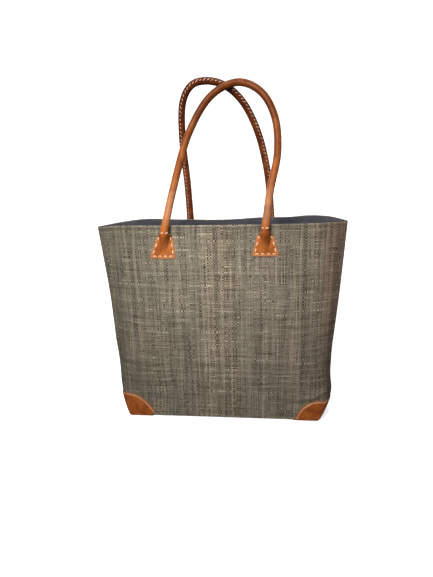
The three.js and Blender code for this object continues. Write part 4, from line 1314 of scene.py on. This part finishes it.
# its upright points outward, its length along the row, and a slant with some jitter is added
outward = node(g, "GeometryNodeInputNamedAttribute", {"data_type": "FLOAT_VECTOR"}, Name="outward")
turned = None
for axis, pivot, vector in (("Z", "AUTO", outward[0]), ("X", "Z", add(g, "GeometryNodeInputTangent"))):
    turned = node(g, "FunctionNodeAlignRotationToVector", {"axis": axis, "pivot_axis": pivot},
                  Vector=vector, Rotation=turned)["Rotation"]
wobble = g.nodes.new("FunctionNodeRandomValue")
wobble.data_type = "FLOAT"
feed(g, wobble.inputs[2], math_of(g, "MULTIPLY", given["Jitter"], -1.0))
feed(g, wobble.inputs[3], given["Jitter"])
wire(g, wobble, Seed=given["Seed"])
angle = math_of(g, "ADD", given["Slant"], wobble.outputs[1])
slant = node(g, "FunctionNodeAxisAngleToRotation", Axis=(0, 0, 1), Angle=angle)
spin = node(g, "FunctionNodeRotateRotation", {"rotation_space": "LOCAL"}, Rotation=turned,
            Rotate_By=slant["Rotation"])
placed = node(g, "GeometryNodeInstanceOnPoints", Points=even["Curve"], Instance=stitch["Geometry"],
              Rotation=spin["Rotation"], Scale=math_of(g, "MULTIPLY_ADD", wobble.outputs[1], 0.8, 1.0))
gentle = add(g, "GeometryNodeSetShadeSmooth", add(g, "GeometryNodeRealizeInstances", placed["Instances"]))
finish = node(g, "GeometryNodeSetMaterial", Geometry=gentle, Material=given["Thread"])
feed(g, result["Stitches"], finish["Geometry"])
print("group", g.name, "with", len(g.nodes), "nodes")


# %% [markdown]
# ## Sewing with the tree
#
# Each row's points become a bare line of edges with the tree on it, and what the tree makes is read back as a plain
# mesh. All rows of one seam are joined, so a seam is one piece that rides its body like any other.

# %% Helper: sew rows
def sew(name, rows, body, thread, length, radius, spacing, dive, slant=0.0, jitter=0.08, seed=1):
    """Rows of stitches as one plain mesh. A row is (points, outward directions), in millimetres."""
    joined = bmesh.new()
    for order, (points, outward) in enumerate(rows):
        path = bpy.data.meshes.new("path")
        path.from_pydata((points * MM).tolist(), [(k, k + 1) for k in range(len(points) - 1)], [])
        path.attributes.new("outward", "FLOAT_VECTOR", "POINT").data.foreach_set("vector", np.ravel(outward))
        row = in_scene("row", path)
        modifier = row.modifiers.new("sew", "NODES")
        modifier.node_group = sewn_row
        reach = np.linalg.norm(np.diff(points, axis=0), axis=1).sum()
        values = {"Count": max(2, int(round(reach / spacing)) + 1), "Length": length * MM, "Radius": radius * MM,
                  "Slant": slant, "Dive": dive, "Jitter": jitter, "Seed": seed + order, "Thread": thread}
        for socket in sewn_row.interface.items_tree:
            if socket.in_out == "INPUT" and socket.name in values:
                modifier[socket.identifier] = values[socket.name]
        settled = row.evaluated_get(bpy.context.evaluated_depsgraph_get())
        part = bpy.data.meshes.new_from_object(settled)
        joined.from_mesh(part)
        bpy.data.objects.remove(row)
        bpy.data.meshes.remove(part)
    made = bpy.data.meshes.new(name)
    joined.to_mesh(made)
    joined.free()
    made.shade_smooth()
    stitches = in_scene(name, made)
    dress(stitches, body, thread, "cord_core")
    return stitches


def outward_of(side, points):
    """The wall's outward direction beside some points."""
    x, z = points[:, 0], points[:, 2]
    ahead_x = wall_at(side, x + 1.0, z, 0.0) - wall_at(side, x - 1.0, z, 0.0)
    ahead_z = wall_at(side, x, z + 1.0, 0.0) - wall_at(side, x, z - 1.0, 0.0)
    normal = unit(np.cross(ahead_x, ahead_z))
    return normal * np.sign(normal[:, 1:2]) * SIDES[side]


# %% [markdown]
# ## Stitches on the tabs
#
# A thick pale waxed thread holds each tab: one row up the left side, one along the bottom, one up the right, and
# two stitches across the neck where the roll begins. On the front right loop that pair sits higher, on the loop's
# leather above the tab.

# %% Sew the tabs
# the rows: height over the tab's back, lowest and highest level at the sides, and the level of the bottom row
STITCH_HEIGHT, SIDE_LOW, SIDE_HIGH, BOTTOM_LEVEL = 1.62, 11.5, 35.5, 4.9
# the neck stitches cover this much to either side of the roll's middle, which leans a little inwards
NECK_REACH, NECK_MIDDLE = 4.6, 0.988
# how far above the tab's own end the neck is stitched
NECK_RAISED = {("front", "left"): 0.0, ("front", "right"): 7.6, ("back", "left"): 0.0, ("back", "right"): 0.0}


def tab_row(side, hand, corners):
    """A row on the tab's face through (share of the stitched half width, level) corners."""
    corners = np.array(corners, float)
    steps = np.linspace(0, len(corners) - 1, 40)
    a = np.interp(steps, np.arange(len(corners)), corners[:, 0])
    v = np.interp(steps, np.arange(len(corners)), corners[:, 1])
    x = tab_centre(side, hand, v) + a
    points = wall_at(side, x, tab_z(side, hand, v), -STAND_OFF)
    points[:, 1] += SIDES[side] * STITCH_HEIGHT
    return points, outward_of(side, points)


def tab_stitches(side, hand):
    at_low, at_high, at_bottom = (float(tab_half_width(v) - STITCH_INSET) for v in (SIDE_LOW, SIDE_HIGH, 5))
    bottom = at_bottom - STITCH_INSET
    rows = [tab_row(side, hand, [(-at_low, SIDE_LOW), (-at_high, SIDE_HIGH)]),
            tab_row(side, hand, [(-bottom, BOTTOM_LEVEL), (bottom, BOTTOM_LEVEL)]),
            tab_row(side, hand, [(at_high, SIDE_HIGH), (at_low, SIDE_LOW)])]
    sew(f"{side}_{hand}_tab_stitches", rows, "bag", peach_thread, 7.4, 1.2, 11.5, dive=0.75, jitter=0.07,
        seed=10 + list(TAB_FEET).index((side, hand)))
    raised = NECK_RAISED[side, hand]
    ring = loop_rings[side][int(raised / STEP) if hand == "left" else -1 - int(raised / STEP)]
    middle = ring.mean(axis=0)
    faces_out = (ring[:, 1] - middle[1]) * SIDES[side] > 0
    near = faces_out & (np.abs(ring[:, 0] - NECK_MIDDLE * middle[0]) < NECK_REACH)
    arc = ring[near][np.argsort(ring[near][:, 0])]
    outward = unit(arc - middle)
    neck = sew(f"{side}_{hand}_neck_stitches", [(arc + outward * 0.25, outward)], None if raised else "bag",
               peach_thread, 6.0, 1.0, 8.2, slant=0.22, dive=0.9, seed=30)
    if raised:
        bend_with_loop(neck)


for side, hand in TAB_FEET:
    tab_stitches(side, hand)

# %% [markdown]
# ## Whipped seams of the loops
#
# The roll is shut with short slanted stitches, thread over thread, along the side that faces the bag. On the far
# loop they face the viewer and read as a line of pale dashes.

# %% Sew the loops shut
# the whip stitches start this far above the tab
SEAM_START = 11.0


def loop_seam(side):
    path = loop_paths[side]
    surface_line = loop_surface(side, path, np.array([0.0]), raised=0.5)[:, 0]
    skip = int(round(SEAM_START / STEP))
    row = (surface_line[skip:-skip], unit(surface_line - path)[skip:-skip])
    seam = sew(f"{side}_loop_seam_stitches", [row], None, rose_thread, 7.2, 0.86, 6.9, slant=0.55, dive=1.1,
               jitter=0.10, seed=50)
    bend_with_loop(seam)


for side in SIDES:
    loop_seam(side)

# %% [markdown]
# ## Sewn edges of the corners, the rim and the lining
#
# The corner leathers are sewn close to their edge with a thin brown thread in the groove. The rim is sewn through
# cloth, hem and lining with a grey thread, seen as a faint line just under the fold.

# %% Sew the corners and the rim
def corner_row(side, hand):
    sign = HANDS[hand]
    points, deeper = [], []
    for angle in np.linspace(math.radians(30), math.pi / 2 - 0.01, 80):
        radius = corner_reach(angle, sign) - CORNER_STITCH
        z, from_seam = radius * math.sin(angle) - HALF_BASE, radius * math.cos(angle)
        points.append(corner_point(side, sign, from_seam, z, -GAP - CORNER_LEATHER + 0.12))
        deeper.append(corner_point(side, sign, from_seam, z, -GAP - CORNER_LEATHER - 1.0))
    return np.array(points), unit(np.array(deeper) - np.array(points))


def rim_row(side, inset, z, outwards):
    along, _, run = wall_columns(side, z, SHEET_COLUMNS)
    keep = run > DIP_WIDTH
    points = wall(side, z, along[keep], inset)
    beyond = wall(side, z, along[keep], inset - outwards)
    return points, unit(beyond - points)


for side in SIDES:
    for hand in HANDS:
        sew(f"{side}_{hand}_corner_stitches", [corner_row(side, hand)], "bag", brown_thread, 3.0, 0.33, 3.9, dive=0.8)
    sew(f"{side}_rim_stitches", [rim_row(side, 0.05, 384.6, 1.0)], "bag", grey_thread, 3.1, 0.34, 4.0, dive=0.8)
    sew(f"{side}_lining_stitches", [rim_row(side, LINING_INSET + LINING - 0.02, 384.0, -1.0)], "bag", slate_thread,
        3.1, 0.30, 4.0, dive=0.8)

# %% [markdown]
# ## Floor and light
#
# The picture shows the bag alone on white, lit softly from the upper left: the left of each roll has the light,
# its right edge is deep brown, and the wall darkens towards the foot and round the right side. A pale floor curves
# up into a backdrop that glows a little more towards the back. A key light from the upper left, a light from
# above, a weak fill from the right and one from behind for the rear rim light the bag, and a small one draws the
# glints on the leather. The sky is brighter above than below. The denoiser takes its guides unfiltered, because it
# would smear a weave of 2.4 mm otherwise.

# %% Make the floor and the lights
def backdrop():
    profile = [(-3.0, 0.0), (1.4, 0.0)]
    profile += [(1.4 + 0.8 * math.sin(a), 0.8 - 0.8 * math.cos(a)) for a in np.linspace(0, math.pi / 2, 14)[1:]]
    profile.append((2.2, 3.5))
    points = [(x, y, z) for y, z in profile for x in (-3.5, 3.5)]
    faces = [(2 * k, 2 * k + 1, 2 * k + 3, 2 * k + 2) for k in range(len(profile) - 1)]
    mesh = bpy.data.meshes.new("floor")
    mesh.from_pydata(points, [], faces)
    mesh.shade_smooth()
    floor = in_scene("floor", mesh)
    material, t, surface = new_material("pale_floor")
    depth = axes_of(t, add(t, "ShaderNodeTexCoord", _out=3))["Y"]
    wire(t, surface, Base_Color=(0.90, 0.90, 0.90, 1), Roughness=0.9, Emission_Color=(1, 1, 1, 1),
         Emission_Strength=span(t, depth, 0.3, 1.6, 0.50, 0.95))
    mesh.materials.append(material)
    floor.visible_diffuse = floor.visible_glossy = False


def area_light(name, place, aim, size, power, color=(1, 1, 1)):
    light = bpy.data.lights.new(name, "AREA")
    light.shape, light.size, light.size_y = "RECTANGLE", size[0], size[1]
    light.energy, light.color = power, color
    lamp = in_scene(name, light)
    lamp.location = place
    lamp.rotation_mode = "QUATERNION"
    lamp.rotation_quaternion = (Vector(aim) - Vector(place)).to_track_quat("-Z", "Y")
    print("light", name, power, "W")


backdrop()
area_light("key", (-0.26, -0.90, 1.04), (0.0, 0.0, 0.34), (0.45, 0.45), 13.6, (1.0, 0.985, 0.955))
area_light("top", (0.05, 0.12, 1.6), (0.0, 0.0, 0.5), (1.0, 0.5), 5.0)
area_light("behind", (-0.5, 1.7, 0.9), (0.0, 0.0, 0.3), (1.2, 1.2), 7.0)
area_light("fill", (1.0, -1.9, 0.9), (0.0, 0.0, 0.25), (1.2, 1.2), 7.0)
area_light("glint", (-0.30, -1.2, 0.62), (0.0, 0.0, 0.42), (0.3, 0.3), 5.0, (1.0, 0.95, 0.90))
world = bpy.data.worlds.new("surround")
world.use_nodes = True
t = world.node_tree
seen = node(t, "ShaderNodeLightPath")
sky = axes_of(t, add(t, "ShaderNodeTexCoord"))
from_above = span(t, sky["Z"], -0.5, 0.8, 0.07, 0.50)
from_left = span(t, sky["X"], -1.0, 1.0, 1.05, 0.95)
lit = math_of(t, "MULTIPLY", from_above, from_left)
wire(t, t.nodes["Background"], Color=(1, 1, 1, 1), Strength=math_of(t, "MAXIMUM", seen["Is Camera Ray"], lit))
scene.world = world
scene.view_settings.view_transform = "Standard"
scene.cycles.denoising_prefilter = "NONE"
